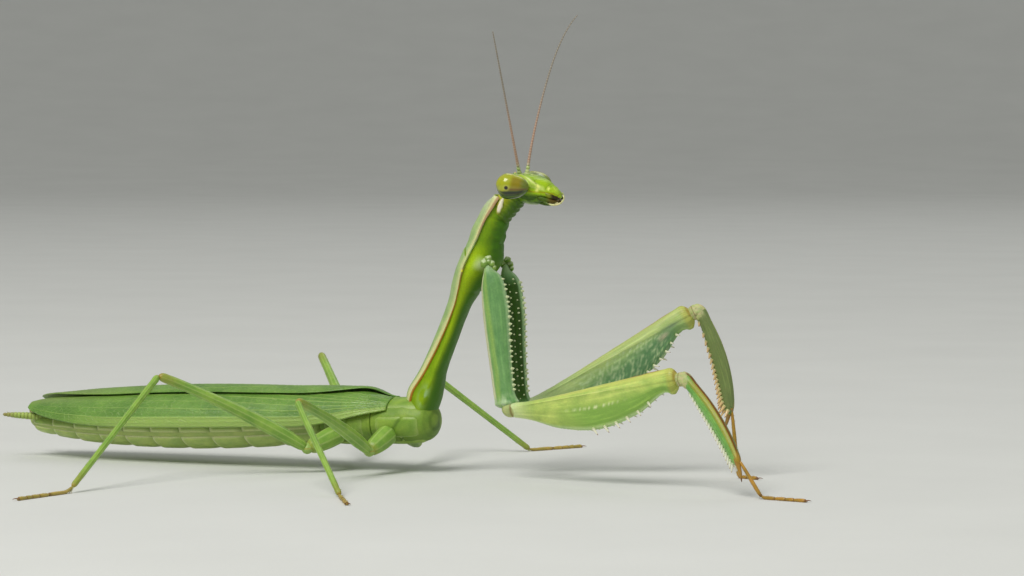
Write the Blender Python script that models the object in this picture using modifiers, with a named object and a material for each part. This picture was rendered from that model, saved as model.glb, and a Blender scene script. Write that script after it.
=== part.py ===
"""Praying mantis, adult female, life size, standing with both forelegs reached out.

The body faces +X and stands on the floor plane z = 0. Sizes are in millimetres and
become metres where the meshes are made. Every piece is drawn out along its own axis,
and a piece that sits in or on another is parted from it by a thin cut.
"""

import math

import bmesh
import bpy
from mathutils import Matrix, Vector

MM = 0.001
GAP = 0.2  # parting cut between neighbours

# Driving lengths
PRONOTUM = 19.8
FORE_COXA, FORE_FEMUR, FORE_TIBIA, FORE_TARSUS = 13.0, 17.8, 9.7, 8.6
MID_COXA, MID_FEMUR, MID_TIBIA, MID_TARSUS = 3.6, 12.3, 12.0, 7.0
HIND_COXA, HIND_FEMUR, HIND_TIBIA, HIND_TARSUS = 4.0, 15.5, 16.0, 8.0
HEAD_LENGTH = 5.6
WING_THICKNESS = 0.5

# The prothorax rises steeply from this point, its hinge on the level thorax.
HINGE = Vector((0.0, 0.0, 6.35))
PROTHORAX_PITCH = 69.6
THORAX_FRONT = Vector((1.3, 0.0, 4.75))
THORAX_WAIST = Vector((-4.6, 0.0, 4.5))
THORAX_END = Vector((-9.6, 0.0, 4.3))
ABDOMEN_END = Vector((-41.0, 0.0, 3.3))

# Pose of each leg: (pitch above the level, yaw outwards from straight ahead), in degrees
LEGS = {
    "fore_right": {"coxa": (-78.9, 25.7), "femur": (10.5, 8.2), "tibia": (-45.6, 26.6), "tarsus": (-53.0, 11.7)},
    "fore_left": {"coxa": (-84.3, 13.1), "femur": (29.1, 14.9), "tibia": (-72.8, 5.4), "tarsus": (-82.5, -17.8)},
    "mid_right": {"coxa": (-24.0, 100.0), "femur": (25.0, 98.0), "tibia": (-37.0, 41.0), "tarsus": (-4.0, 58.0)},
    "mid_left": {"coxa": (-24.0, 100.0), "femur": (25.0, 107.0), "tibia": (-37.0, 44.0), "tarsus": (-4.0, 62.0)},
    "hind_right": {"coxa": (-20.0, 122.0), "femur": (26.5, 134.0), "tibia": (-32.6, 94.0), "tarsus": (-4.0, 98.0)},
    "hind_left": {"coxa": (-20.0, 122.0), "femur": (26.5, 130.0), "tibia": (-32.6, 104.0), "tarsus": (-4.0, 108.0)},
}

GREEN = (0.30, 0.47, 0.12)
PALE_GREEN = (0.45, 0.60, 0.33)
SAGE = (0.33, 0.50, 0.28)
WING_GREEN = (0.22, 0.42, 0.10)
EYE_GREEN = (0.50, 0.52, 0.07)
CREAM = (0.80, 0.74, 0.52)
TAN = (0.55, 0.42, 0.16)
DUSKY = (0.42, 0.27, 0.20)


def clear_scene():
    for old in list(bpy.data.objects):
        bpy.data.objects.remove(old)


def collection(name):
    made = bpy.data.collections.new(name)
    bpy.context.scene.collection.children.link(made)
    return made


def material(name, colour, roughness=0.45):
    made = bpy.data.materials.new(name)
    made.use_nodes = True
    shader = made.node_tree.nodes["Principled BSDF"]
    shader.inputs["Base Color"].default_value = (*colour, 1.0)
    shader.inputs["Roughness"].default_value = roughness
    shader.inputs["Metallic"].default_value = 0.0
    return made


def aim(pitch, yaw=0.0, side=1):
    """Unit vector at a pitch above the level, turned outwards from +X on one side."""
    flat = math.cos(math.radians(pitch))
    outward = math.radians(yaw)
    return Vector((flat * math.cos(outward), side * flat * math.sin(outward), math.sin(math.radians(pitch))))


def between(stations, t):
    """Sizes at t, on smooth curves through the stations (t, size, size, ...)."""
    def slope(i, column):
        before, after = stations[max(i - 1, 0)], stations[min(i + 1, len(stations) - 1)]
        return (after[column] - before[column]) / (after[0] - before[0])

    t = min(max(t, stations[0][0]), stations[-1][0])
    i = max(k for k in range(len(stations) - 1) if stations[k][0] <= t)
    span = stations[i + 1][0] - stations[i][0]
    u = (t - stations[i][0]) / span
    sizes = []
    for column in range(1, len(stations[0])):
        start, end = stations[i][column], stations[i + 1][column]
        rise = slope(i, column) * span * (u - 2 * u * u + u ** 3) + slope(i + 1, column) * span * (u ** 3 - u * u)
        sizes.append(start + (end - start) * (3 * u * u - 2 * u ** 3) + rise)
    return sizes


def straight(start, end, bow=Vector((0, 0, 0))):
    """Axis from start to end that bows out by the given vector at its middle."""
    return lambda t: start.lerp(end, t) + bow * (4 * t * (1 - t))


def hinged(start, corner, end, bow):
    """Axis from start to a rounded corner, and on to end in a line that bows out by the vector."""
    first, second, bend = corner - start, end - corner, 0.45

    def onwards(walked):
        share = walked / second.length
        return corner + second * share + bow * (4 * share * (1 - share))

    def axis(t):
        walked = t * (first.length + second.length) - first.length
        if walked <= -bend:
            return corner + first.normalized() * walked
        if walked >= bend:
            return onwards(walked)
        u = (walked + bend) / (2 * bend)
        return (corner - first.normalized() * bend) * (1 - u) ** 2 + corner * (2 * u * (1 - u)) + onwards(bend) * u * u

    return axis


def drawn_out(axis, up, stations, rings=9, sides=12, caps=(0.06, 0.06), edge=1.0, level=0.0):
    """Mesh of a sphere drawn out along an axis.

    Each station is (t, half width, reach above the axis, reach below it). Caps round
    off the two ends, edge over 1 pinches the section into a keel above and below, and
    level lowers the widest line of the section.
    """
    bm = bmesh.new()
    bmesh.ops.create_uvsphere(bm, u_segments=sides, v_segments=rings, radius=1.0)
    for vert in bm.verts:
        t = (1 - vert.co.z) / 2
        around = math.atan2(vert.co.y, vert.co.x)
        radial = 0.0 if abs(vert.co.z) > 0.9999 else 1.0
        for near_end, cap in ((t, caps[0]), (1 - t, caps[1])):
            radial *= math.sqrt(max(0.0, 1 - (1 - min(1.0, near_end / cap)) ** 2))
        width, above, below = between(stations, t)
        step = 0.002
        along = (axis(min(1.0, t + step)) - axis(max(0.0, t - step))).normalized()
        side = along.cross(up).normalized()
        raised = side.cross(along)
        x = width * math.cos(around)
        rise = math.sin(around)
        y = (above if rise > 0 else below) * math.copysign(abs(rise) ** edge, rise) + level
        vert.co = axis(t) + (side * x + raised * y) * radial
    return bm


def add_object(name, bm, coat, parts, root, origin=Vector((0, 0, 0)), smooth=True):
    """Named object in the parts collection, its mesh measured from the given origin."""
    bmesh.ops.translate(bm, verts=bm.verts, vec=-origin)
    bmesh.ops.scale(bm, verts=bm.verts, vec=(MM, MM, MM))
    bmesh.ops.recalc_face_normals(bm, faces=bm.faces)
    mesh = bpy.data.meshes.new(name)
    bm.to_mesh(mesh)
    bm.free()
    if smooth:
        mesh.shade_smooth()
    mesh.materials.append(coat)
    made = bpy.data.objects.new(name, mesh)
    made.location = origin * MM
    made.parent = root
    parts.objects.link(made)
    return made


def add_cutter(name, bm, cutters, root):
    """Hidden tool for a Boolean."""
    bmesh.ops.scale(bm, verts=bm.verts, vec=(MM, MM, MM))
    bmesh.ops.recalc_face_normals(bm, faces=bm.faces)
    mesh = bpy.data.meshes.new(name)
    bm.to_mesh(mesh)
    bm.free()
    made = bpy.data.objects.new(name, mesh)
    made.parent = root
    made.hide_render = True
    made.display_type = "WIRE"
    cutters.objects.link(made)
    return made


def part_from(piece, neighbour, cutters, root):
    """Parts a piece from the neighbour it sits in, by the neighbour's shape grown by the gap."""
    grown = bmesh.new()
    grown.from_mesh(neighbour.data)
    grown.normal_update()
    shifts = [vert.normal * GAP * MM for vert in grown.verts]
    for vert, shift in zip(grown.verts, shifts):
        vert.co += shift + neighbour.location
    bmesh.ops.scale(grown, verts=grown.verts, vec=(1 / MM, 1 / MM, 1 / MM))
    cutter = add_cutter("cut_" + piece.name + "_" + neighbour.name, grown, cutters, root)
    cut = piece.modifiers.new("part from " + neighbour.name, "BOOLEAN")
    cut.operation = "DIFFERENCE"
    cut.object = cutter


def join_spines(piece, spines, cutters, root):
    """Joins cones (foot, tip, foot radius) to the piece they grow from."""
    bm = bmesh.new()
    for foot, tip, radius in spines:
        reach = tip - foot
        cone = bmesh.ops.create_cone(
            bm, cap_ends=True, segments=4, radius1=radius, radius2=0.0, depth=reach.length
        )
        turn = reach.to_track_quat("Z", "Y").to_matrix().to_4x4()
        place = Matrix.Translation((foot + tip) / 2) @ turn
        bmesh.ops.transform(bm, matrix=place, verts=cone["verts"])
    tool = add_cutter("spines_" + piece.name, bm, cutters, root)
    join = piece.modifiers.new("spines", "BOOLEAN")
    join.operation = "UNION"
    join.object = tool


# ---------------------------------------------------------------- scene and materials
clear_scene()
parts = collection("praying_mantis")
cutters = collection("cutters")
root = bpy.data.objects.new("praying_mantis", None)
parts.objects.link(root)

green = material("body_green", GREEN)
pale = material("pale_green", PALE_GREEN)
sage = material("coxa_sage", SAGE)
wing_green = material("wing_green", WING_GREEN, 0.5)
eye_green = material("eye_green", EYE_GREEN, 0.15)
cream = material("mouth_cream", CREAM)
tan = material("tarsus_tan", TAN)
dusky = material("antenna_brown", DUSKY)

# ---------------------------------------------------------------- prothorax
# One long tube: the pronotum is its roofed back, widest where the forelegs join.
FORWARD = aim(PROTHORAX_PITCH)
DORSAL = Vector((-FORWARD.z, 0.0, FORWARD.x))
PROTHORAX_FOOT = HINGE - FORWARD * 1.9
PROTHORAX_TOP = HINGE + FORWARD * PRONOTUM

# Along the axis: half width, keel above the margin line, underside below it
PROTHORAX = [
    (0.0, 1.65, 1.25, 0.7),
    (0.11, 1.75, 1.80, 0.85),
    (0.17, 1.55, 1.72, 0.72),
    (0.24, 1.32, 1.52, 0.44),
    (0.34, 1.22, 1.30, 0.50),
    (0.52, 1.50, 1.22, 0.62),
    (0.61, 2.05, 1.32, 1.10),
    (0.69, 2.40, 1.36, 1.75),
    (0.76, 2.15, 1.30, 2.18),
    (0.82, 1.90, 1.15, 1.86),
    (0.87, 1.72, 1.06, 1.75),
    (1.0, 1.30, 0.66, 1.60),
]
MARGIN_LEVEL = -0.4
prothorax = add_object(
    "prothorax",
    drawn_out(
        straight(PROTHORAX_FOOT, PROTHORAX_TOP), DORSAL, PROTHORAX, rings=18, sides=14, caps=(0.04, 0.02),
        edge=1.15, level=MARGIN_LEVEL,
    ),
    green, parts, root, HINGE,
)

# ---------------------------------------------------------------- head, eyes, mouth
# The head hangs its mouth forwards: its face looks up, its back rests on the neck.
VERTEX = PROTHORAX_TOP + Vector((1.45, 0.0, 1.7))
HEAD_PITCH, HEAD_TURN = -18.8, 2.5  # the face turns a little to its right
MOUTHWARD = aim(HEAD_PITCH, HEAD_TURN, -1)
ACROSS = aim(0, 90 - HEAD_TURN)
FACEWARD = MOUTHWARD.cross(ACROSS)


def on_head(down, across, out):
    """Point on the head: down the face from the vertex, across, and out of the face."""
    return VERTEX + MOUTHWARD * down + ACROSS * across + FACEWARD * out


HEAD = [
    (0.0, 1.7, 0.40, 0.7),
    (0.12, 2.25, 0.58, 1.1),
    (0.30, 2.30, 0.80, 1.5),
    (0.48, 1.85, 0.98, 1.6),
    (0.64, 1.42, 1.05, 1.35),
    (0.78, 1.05, 0.95, 0.85),
    (0.90, 0.78, 0.62, 0.62),
    (1.0, 0.55, 0.35, 0.42),
]
head = add_object(
    "head",
    drawn_out(
        straight(on_head(-0.15, 0, 0), on_head(HEAD_LENGTH, 0, 0)), FACEWARD, HEAD, rings=12, sides=16,
        caps=(0.12, 0.1), edge=0.9,
    ),
    green, parts, root, VERTEX,
)

EYE = [(0.0, 0.80, 0.82, 0.95), (0.3, 1.05, 1.02, 1.26), (0.6, 0.96, 0.96, 1.12), (1.0, 0.66, 0.66, 0.62)]
PALP = [(0.0, 0.27, 0.27, 0.27), (0.5, 0.25, 0.25, 0.25), (1.0, 0.25, 0.25, 0.25)]
PALP_BOW = 0.15
EYE_LIFT = {"right": 0.0, "left": 0.3}  # the head is cocked a little, its left eye the higher
for name, side in (("right", -1), ("left", 1)):
    eye = add_object(
        "eye_" + name,
        drawn_out(
            straight(on_head(0.2, side * 2.85, -0.36), on_head(3.02, side * 2.0, 0.1 + EYE_LIFT[name])), FACEWARD, EYE,
            rings=9, sides=12, caps=(0.3, 0.32),
        ),
        eye_green, parts, root, on_head(1.6, side * 2.5, 0),
    )
    part_from(head, eye, cutters, root)
    palp = add_object(
        "palp_" + name,
        drawn_out(
            straight(
                on_head(3.9, side * 1.25, -0.85), on_head(5.75, side * 0.5, -0.45),
                (MOUTHWARD - FACEWARD) * PALP_BOW,
            ),
            FACEWARD, PALP, rings=7, sides=6, caps=(0.15, 0.15),
        ),
        cream, parts, root, on_head(3.9, side * 1.25, -0.85),
    )
    part_from(palp, head, cutters, root)

# ---------------------------------------------------------------- antennae
# The feelers rise off the face and spread; the left one leans forwards and curls at its tip.
# Each: (rise, reach forwards, spread outwards, curl)
FEELERS = {"right": (12.6, 0.0, 5.8, 0.0), "left": (14.2, 2.4, 3.6, 1.0)}
FEELER_RADIUS = 0.25
FEELER_POINTS = 12


def feeler_point(name, side, t):
    """Point at t along a feeler."""
    rise, forwards, outwards, curl = FEELERS[name]
    foot = on_head(1.15, side * 0.75, 0.75)
    return foot + Vector((forwards * t ** 1.6 + curl * t ** 8, side * outwards * t, rise * t))


for name, side in (("right", -1), ("left", 1)):
    curve = bpy.data.curves.new("feeler", "CURVE")
    curve.dimensions = "3D"
    curve.bevel_depth = FEELER_RADIUS * MM
    curve.bevel_resolution = 2
    curve.use_fill_caps = True
    line = curve.splines.new("POLY")
    line.points.add(FEELER_POINTS - 1)
    for i, point in enumerate(line.points):
        place = feeler_point(name, side, i / (FEELER_POINTS - 1))
        point.co = (*(place * MM), 1.0)
    drawn = bpy.data.objects.new("feeler", curve)
    parts.objects.link(drawn)
    tube = bpy.data.meshes.new_from_object(drawn.evaluated_get(bpy.context.evaluated_depsgraph_get()))
    bpy.data.objects.remove(drawn)
    bm = bmesh.new()
    bm.from_mesh(tube)
    bmesh.ops.remove_doubles(bm, verts=bm.verts, dist=0.00001)
    bmesh.ops.scale(bm, verts=bm.verts, vec=(1 / MM, 1 / MM, 1 / MM))
    feeler = add_object("antenna_" + name, bm, dusky, parts, root, feeler_point(name, side, 0))
    part_from(feeler, head, cutters, root)
    part_from(feeler, bpy.data.objects["eye_" + name], cutters, root)

# ---------------------------------------------------------------- neck
NECK = [(0.0, 1.2, 0.8, 1.3), (0.5, 1.25, 0.95, 1.35), (1.0, 1.15, 1.0, 1.2)]
neck = add_object(
    "neck",
    drawn_out(
        straight(HINGE + FORWARD * 18.2 - DORSAL * 0.6, on_head(1.3, 0, -0.4), FORWARD * 0.2), DORSAL, NECK,
        rings=8, sides=12, caps=(0.1, 0.1),
    ),
    green, parts, root, PROTHORAX_TOP,
)
part_from(neck, head, cutters, root)
part_from(neck, prothorax, cutters, root)

# ---------------------------------------------------------------- thorax and abdomen
UP = Vector((0, 0, 1))
MESOTHORAX = [(0.0, 1.9, 1.5, 1.5), (0.3, 2.25, 1.95, 1.95), (0.7, 2.4, 2.05, 2.0), (1.0, 2.35, 1.95, 1.9)]
METATHORAX = [(0.0, 2.35, 1.95, 1.9), (0.5, 2.5, 2.0, 2.0), (1.0, 2.45, 1.9, 1.9)]
ABDOMEN = [
    (0.0, 2.35, 1.8, 1.8),
    (0.12, 2.75, 2.0, 1.95),
    (0.45, 3.35, 2.2, 2.1),
    (0.75, 2.85, 1.85, 1.75),
    (0.92, 1.7, 1.15, 1.15),
    (1.0, 0.8, 0.65, 0.7),
]
mesothorax = add_object(
    "mesothorax",
    drawn_out(straight(THORAX_FRONT, THORAX_WAIST), UP, MESOTHORAX, rings=8, sides=14, caps=(0.16, 0.05)),
    green, parts, root, THORAX_FRONT,
)
metathorax = add_object(
    "metathorax",
    drawn_out(
        straight(THORAX_WAIST + Vector((0.4, 0, 0)), THORAX_END), UP, METATHORAX, rings=8, sides=14, caps=(0.06, 0.06)
    ),
    green, parts, root, THORAX_WAIST,
)
SAG = Vector((0, 0, -0.35))
abdomen = add_object(
    "abdomen",
    drawn_out(
        straight(THORAX_END + Vector((0.5, 0, 0)), ABDOMEN_END, SAG), UP, ABDOMEN, rings=16, sides=14,
        caps=(0.03, 0.05),
    ),
    pale, parts, root, THORAX_END,
)
part_from(mesothorax, prothorax, cutters, root)
part_from(metathorax, mesothorax, cutters, root)
part_from(abdomen, metathorax, cutters, root)

CERCUS = [(0.0, 0.4, 0.4, 0.4), (0.6, 0.34, 0.34, 0.34), (1.0, 0.26, 0.26, 0.26)]
for name, side in (("right", -1), ("left", 1)):
    foot = ABDOMEN_END + Vector((2.3, side * 1.0, 0.45))
    cercus = add_object(
        "cercus_" + name,
        drawn_out(
            straight(foot, foot + aim(3, 160, side) * 4.2), UP, CERCUS, rings=6, sides=8, caps=(0.1, 0.1)
        ),
        pale, parts, root, foot,
    )
    part_from(cercus, abdomen, cutters, root)

# ---------------------------------------------------------------- forewings
# Leathery, folded flat over the abdomen, the left one lying over the right.
WING_ROOT, WING_TIP = -2.9, -40.4
WING_CLEARANCE = 0.5 * WING_THICKNESS + GAP
WING_CROSSING = WING_THICKNESS + GAP
COSTAL_EDGE, INNER_EDGE = math.radians(-8), math.radians(118)


def wing_envelope(x):
    """Half width, height and axis height of the body that the wings lie on at x."""
    wide, high = between(
        [(-41.0, 1.6, 1.4), (-38.0, 2.3, 1.6), (-33.0, 3.0, 2.0), (-24.0, 3.45, 2.35), (-13.0, 2.95, 2.2),
         (-8.0, 2.65, 2.15), (-2.0, 2.5, 2.05)],
        x,
    )
    share = (x - ABDOMEN_END.x) / (THORAX_FRONT.x - ABDOMEN_END.x)
    return wide, high, ABDOMEN_END.z + (THORAX_FRONT.z - ABDOMEN_END.z) * share


for name, side in (("right", -1), ("left", 1)):
    bm = bmesh.new()
    bmesh.ops.create_grid(bm, x_segments=13, y_segments=8, size=1.0)
    for vert in bm.verts:
        along, across = (vert.co.x + 1) / 2, (vert.co.y + 1) / 2
        x = WING_ROOT + (WING_TIP - WING_ROOT) * along
        tip_taper = math.sqrt(max(0.0, 1 - max(0.0, (along - 0.72) / 0.29) ** 2))
        root_taper = 0.4 + 0.6 * math.sin(min(1.0, along / 0.25) * math.pi / 2)
        middle = 0.5 * (COSTAL_EDGE + INNER_EDGE)
        reach = 0.5 * (INNER_EDGE - COSTAL_EDGE) * tip_taper * root_taper
        angle = middle + (across * 2 - 1) * reach
        wide, high, axis_z = wing_envelope(x)
        lift = WING_CLEARANCE
        if side > 0:
            ramp = min(1.0, max(0.0, (math.degrees(angle) - 15) / 40))
            lift += WING_CROSSING * ramp * ramp * (3 - 2 * ramp)
        vert.co = Vector(
            (x, side * (wide + lift) * math.cos(angle), axis_z + (high + lift) * math.sin(angle))
        )
    wing = add_object("forewing_" + name, bm, wing_green, parts, root, Vector((WING_ROOT, side * 2.0, 6.5)))
    shell = wing.modifiers.new("thickness", "SOLIDIFY")
    shell.thickness = WING_THICKNESS * MM
    shell.offset = 0.0
    shell.use_even_offset = True

# ---------------------------------------------------------------- forelegs
# The raptorial legs: long coxa, deep femur and short curved tibia with spined edges.
FORE_COXA_SHAPE = [
    (0.0, 0.50, 0.34, 0.42),
    (0.05, 0.64, 0.46, 0.50),
    (0.085, 0.72, 0.86, 0.62),
    (0.12, 0.79, 1.12, 0.78),
    (0.17, 0.82, 1.27, 0.94),
    (0.35, 0.78, 1.36, 1.11),
    (0.55, 0.72, 1.13, 1.13),
    (0.75, 0.66, 0.96, 1.08),
    (0.9, 0.62, 0.92, 1.06),
    (0.96, 0.66, 1.18, 1.02),
    (1.0, 0.68, 1.30, 1.00),
]
FORE_FEMUR_SHAPE = [
    (0.0, 0.55, 0.50, 0.75),
    (0.12, 0.66, 0.32, 1.30),
    (0.3, 0.84, 0.40, 2.50),
    (0.52, 0.92, 0.64, 3.08),
    (0.75, 0.80, 0.90, 2.25),
    (0.88, 0.68, 1.08, 1.05),
    (0.92, 0.66, 1.10, 0.88),
    (0.955, 0.64, 1.10, 1.10),
    (1.0, 0.56, 0.88, 0.88),
]
FORE_TIBIA_SHAPE = [
    (0.0, 0.46, 0.60, 0.56),
    (0.08, 0.50, 0.62, 0.52),
    (0.18, 0.46, 0.52, 0.58),
    (0.38, 0.44, 0.54, 0.82),
    (0.63, 0.42, 0.52, 0.88),
    (0.88, 0.35, 0.45, 0.70),
    (1.0, 0.30, 0.36, 0.46),
]
TARSUS_RADIUS = 0.27
TARSUS_SHAPE = [(0.0, 0.28, 0.28, 0.28), (0.5, 0.27, 0.27, 0.27), (1.0, 0.30, 0.27, 0.27)]


SPINE_RADIUS, SPINE_ROOT = 0.17, 0.45


def spine_row(axis, stations, start, end, count, length, lean, across, every_other=1.0):
    """Spines along the lower edge, leaning towards the far end of the piece."""
    row = []
    for k in range(count):
        t = start + (end - start) * k / (count - 1)
        below = between(stations, t)[2]
        along = (axis(t + 0.01) - axis(t - 0.01)).normalized()
        side = along.cross(UP).normalized()
        outward = along.cross(side)
        foot = axis(t) + outward * below + side * across
        reach = length * (1.0 if k % 2 == 0 else every_other)
        way = (outward + along * lean + side * across * 0.5).normalized()
        row.append((foot - way * SPINE_ROOT, foot + way * reach, SPINE_RADIUS))
    return row


def tarsus(start, way, flat_way, length):
    """Foot that comes down at a slant and lies flat on the floor for the rest of its length."""
    rest_height = TARSUS_RADIUS * 0.8
    drop = max(0.3, (start.z - rest_height) / max(0.05, -way.z))
    landing = start + way * drop
    flat_run = max(1.6, length - drop)
    run = drop + flat_run

    def axis(t):
        walked = t * run
        bend = 0.5
        slant = start + way * min(walked, drop)
        if walked <= drop - bend:
            return slant
        if walked >= drop + bend:
            return landing + flat_way * (walked - drop)
        u = (walked - drop + bend) / (2 * bend)
        first, last = landing - way * bend, landing + flat_way * bend
        return first * (1 - u) ** 2 + landing * (2 * u * (1 - u)) + last * u * u

    bm = drawn_out(axis, UP, TARSUS_SHAPE, rings=12, sides=8, caps=(0.04, 0.05))
    for vert in bm.verts:
        vert.co.z = max(vert.co.z, 0.0)
    return bm


KNEE_STEP = 0.6  # the tibia's head reaches this far past the femur's end, then turns down
TIBIA_BOW = {"right": Vector((0.42, 0, 0.22)), "left": Vector((0.75, 0, 0.1))}
CLAW_TURN = {"right": Vector((-0.1, 0, -0.2)), "left": Vector((-0.3, 0, -0.2))}
FORE_ROOT = {"right": Vector((7.22, -2.1, 19.09)), "left": Vector((7.04, 2.1, 18.82))}

for name, side in (("right", -1), ("left", 1)):
    pose = LEGS["fore_" + name]
    hip = FORE_ROOT[name]
    coxa_end = hip + aim(*pose["coxa"], side) * FORE_COXA
    femur_end = coxa_end + aim(*pose["femur"], side) * FORE_FEMUR
    knee_head = femur_end - aim(*pose["femur"], side) * 0.1  # sits in the femur's end
    knee = femur_end + aim(*pose["femur"], side) * KNEE_STEP
    ankle = knee + aim(*pose["tibia"], side) * FORE_TIBIA
    ahead = Vector((1, 0, 0))

    coxa = add_object(
        "fore_coxa_" + name,
        drawn_out(
            straight(hip, coxa_end), ahead, FORE_COXA_SHAPE, rings=12, sides=10, caps=(0.07, 0.04), edge=1.2
        ),
        sage, parts, root, hip,
    )
    part_from(coxa, prothorax, cutters, root)

    femur_axis = straight(coxa_end, femur_end)
    femur = add_object(
        "fore_femur_" + name,
        drawn_out(femur_axis, UP, FORE_FEMUR_SHAPE, rings=14, sides=10, caps=(0.05, 0.035), edge=1.25),
        pale, parts, root, coxa_end,
    )
    outer = spine_row(femur_axis, FORE_FEMUR_SHAPE, 0.50, 0.80, 5, 0.95, 0.45, 0.30 * -side)
    inner = spine_row(femur_axis, FORE_FEMUR_SHAPE, 0.34, 0.86, 12, 0.85, 0.45, 0.30 * side, 0.6)
    join_spines(femur, outer + inner, cutters, root)
    part_from(femur, coxa, cutters, root)

    tibia_axis = hinged(knee_head, knee, ankle, TIBIA_BOW[name])
    tibia = add_object(
        "fore_tibia_" + name,
        drawn_out(tibia_axis, UP, FORE_TIBIA_SHAPE, rings=15, sides=8, caps=(0.07, 0.07)),
        pale, parts, root, knee,
    )
    comb = spine_row(tibia_axis, FORE_TIBIA_SHAPE, 0.26, 0.9, 10, 0.6, 0.6, 0.2 * -side)
    inner_comb = spine_row(tibia_axis, FORE_TIBIA_SHAPE, 0.30, 0.93, 9, 0.6, 0.6, 0.2 * side)
    claw_way = (tibia_axis(1.0) - tibia_axis(0.9)).normalized() + CLAW_TURN[name]
    claw = [(tibia_axis(0.96), tibia_axis(0.98) + claw_way.normalized() * 2.1, 0.26)]
    join_spines(tibia, comb + inner_comb + claw, cutters, root)
    part_from(tibia, femur, cutters, root)

    way = aim(*pose["tarsus"], side)
    flat_way = aim(0, pose["tarsus"][1], side)
    foot = add_object(
        "fore_tarsus_" + name,
        tarsus(tibia_axis(0.97) + Vector((0.2, 0, 0.1)), way, flat_way, FORE_TARSUS),
        tan, parts, root, ankle,
    )
    part_from(foot, tibia, cutters, root)

# ---------------------------------------------------------------- walking legs
WALKING = {
    "mid": (Vector((-2.6, 1.7, 3.7)), MID_COXA, MID_FEMUR, MID_TIBIA, MID_TARSUS, mesothorax),
    "hind": (Vector((-7.4, 1.7, 3.6)), HIND_COXA, HIND_FEMUR, HIND_TIBIA, HIND_TARSUS, metathorax),
}
COXA_SHAPE = [(0.0, 0.9, 0.9, 0.9), (0.5, 0.85, 0.85, 0.9), (1.0, 0.6, 0.6, 0.6)]
FEMUR_SHAPE = [(0.0, 0.5, 0.5, 0.5), (0.25, 0.58, 0.62, 0.62), (0.7, 0.46, 0.5, 0.5), (1.0, 0.45, 0.5, 0.5)]
TIBIA_SHAPE = [(0.0, 0.4, 0.42, 0.42), (0.12, 0.34, 0.36, 0.36), (0.6, 0.31, 0.33, 0.33), (1.0, 0.33, 0.34, 0.34)]

for pair, (hip_left, coxa_length, femur_length, tibia_length, tarsus_length, trunk) in WALKING.items():
    for name, side in (("right", -1), ("left", 1)):
        pose = LEGS[pair + "_" + name]
        hip = Vector((hip_left.x, hip_left.y * side, hip_left.z))
        joints = [hip]
        for segment, length in (("coxa", coxa_length), ("femur", femur_length), ("tibia", tibia_length)):
            joints.append(joints[-1] + aim(*pose[segment], side) * length)
        carrier = trunk
        for segment, shape, coat, cap in (
            ("coxa", COXA_SHAPE, pale, 0.18),
            ("femur", FEMUR_SHAPE, green, 0.05),
            ("tibia", TIBIA_SHAPE, green, 0.04),
        ):
            start, end = joints[0], joints[1]
            joints.pop(0)
            bow = Vector((0, 0, 0.35)) if segment == "femur" else Vector((0, 0, 0))
            piece = add_object(
                "_".join((pair, segment, name)),
                drawn_out(straight(start, end, bow), UP, shape, rings=9, sides=8, caps=(cap, cap)),
                coat, parts, root, start,
            )
            part_from(piece, carrier, cutters, root)
            carrier = piece
        way = aim(-22.0, pose["tarsus"][1], side)
        flat_way = aim(0, pose["tarsus"][1], side)
        foot = add_object(
            "_".join((pair, "tarsus", name)),
            tarsus(joints[0], way, flat_way, tarsus_length),
            tan, parts, root, joints[0],
        )
        part_from(foot, carrier, cutters, root)

# ---------------------------------------------------------------- origin
# The whole stands centred over the origin, feet on z = 0.
bpy.context.view_layer.update()
graph = bpy.context.evaluated_depsgraph_get()
corners = []
for piece in parts.objects:
    if piece.type == "MESH":
        shaped = piece.evaluated_get(graph)
        corners += [shaped.matrix_world @ vert.co for vert in shaped.data.vertices]
middle = [(min(c[k] for c in corners) + max(c[k] for c in corners)) / 2 for k in (0, 1)]
root.location = (-middle[0], -middle[1], 0.0)
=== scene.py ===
"""Looks of the praying mantis display model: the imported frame, dressed piece by piece.

Sizes are millimetres in the body's own frame: +X ahead, +Y to the mantis's left, z = 0
the floor, and x = 0 under the hinge between the raised prothorax and the level thorax.
"""

import math
import random

import bpy
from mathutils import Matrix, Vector, noise


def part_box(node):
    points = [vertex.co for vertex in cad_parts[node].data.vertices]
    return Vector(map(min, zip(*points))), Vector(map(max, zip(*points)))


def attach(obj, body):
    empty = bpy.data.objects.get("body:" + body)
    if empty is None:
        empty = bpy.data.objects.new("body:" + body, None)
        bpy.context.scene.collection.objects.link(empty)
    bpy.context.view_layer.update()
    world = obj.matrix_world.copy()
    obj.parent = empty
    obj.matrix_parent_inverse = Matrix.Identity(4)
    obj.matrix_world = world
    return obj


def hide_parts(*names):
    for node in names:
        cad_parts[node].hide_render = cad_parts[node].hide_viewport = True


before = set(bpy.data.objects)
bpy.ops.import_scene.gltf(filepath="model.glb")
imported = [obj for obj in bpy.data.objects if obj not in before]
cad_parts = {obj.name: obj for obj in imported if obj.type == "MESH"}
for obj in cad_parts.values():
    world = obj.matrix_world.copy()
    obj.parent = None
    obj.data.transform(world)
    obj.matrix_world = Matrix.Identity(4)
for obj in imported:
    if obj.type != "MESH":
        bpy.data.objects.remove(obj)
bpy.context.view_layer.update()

# ---------------------------------------------------------------- camera and studio
# The stage is a round studio of pale card: a level floor whose rim sweeps up into a wall
# on every side. One wide lamp stands high at the viewer's left, with a weak one low on the
# right and another behind.
MM = 0.001
TAIL_REACH = 41.0  # the abdomen ends this far behind the hinge
abdomen_low, abdomen_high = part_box("abdomen")
UNDER_HINGE = Vector((abdomen_low.x + TAIL_REACH * MM, (abdomen_low.y + abdomen_high.y) / 2, 0.0))


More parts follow.
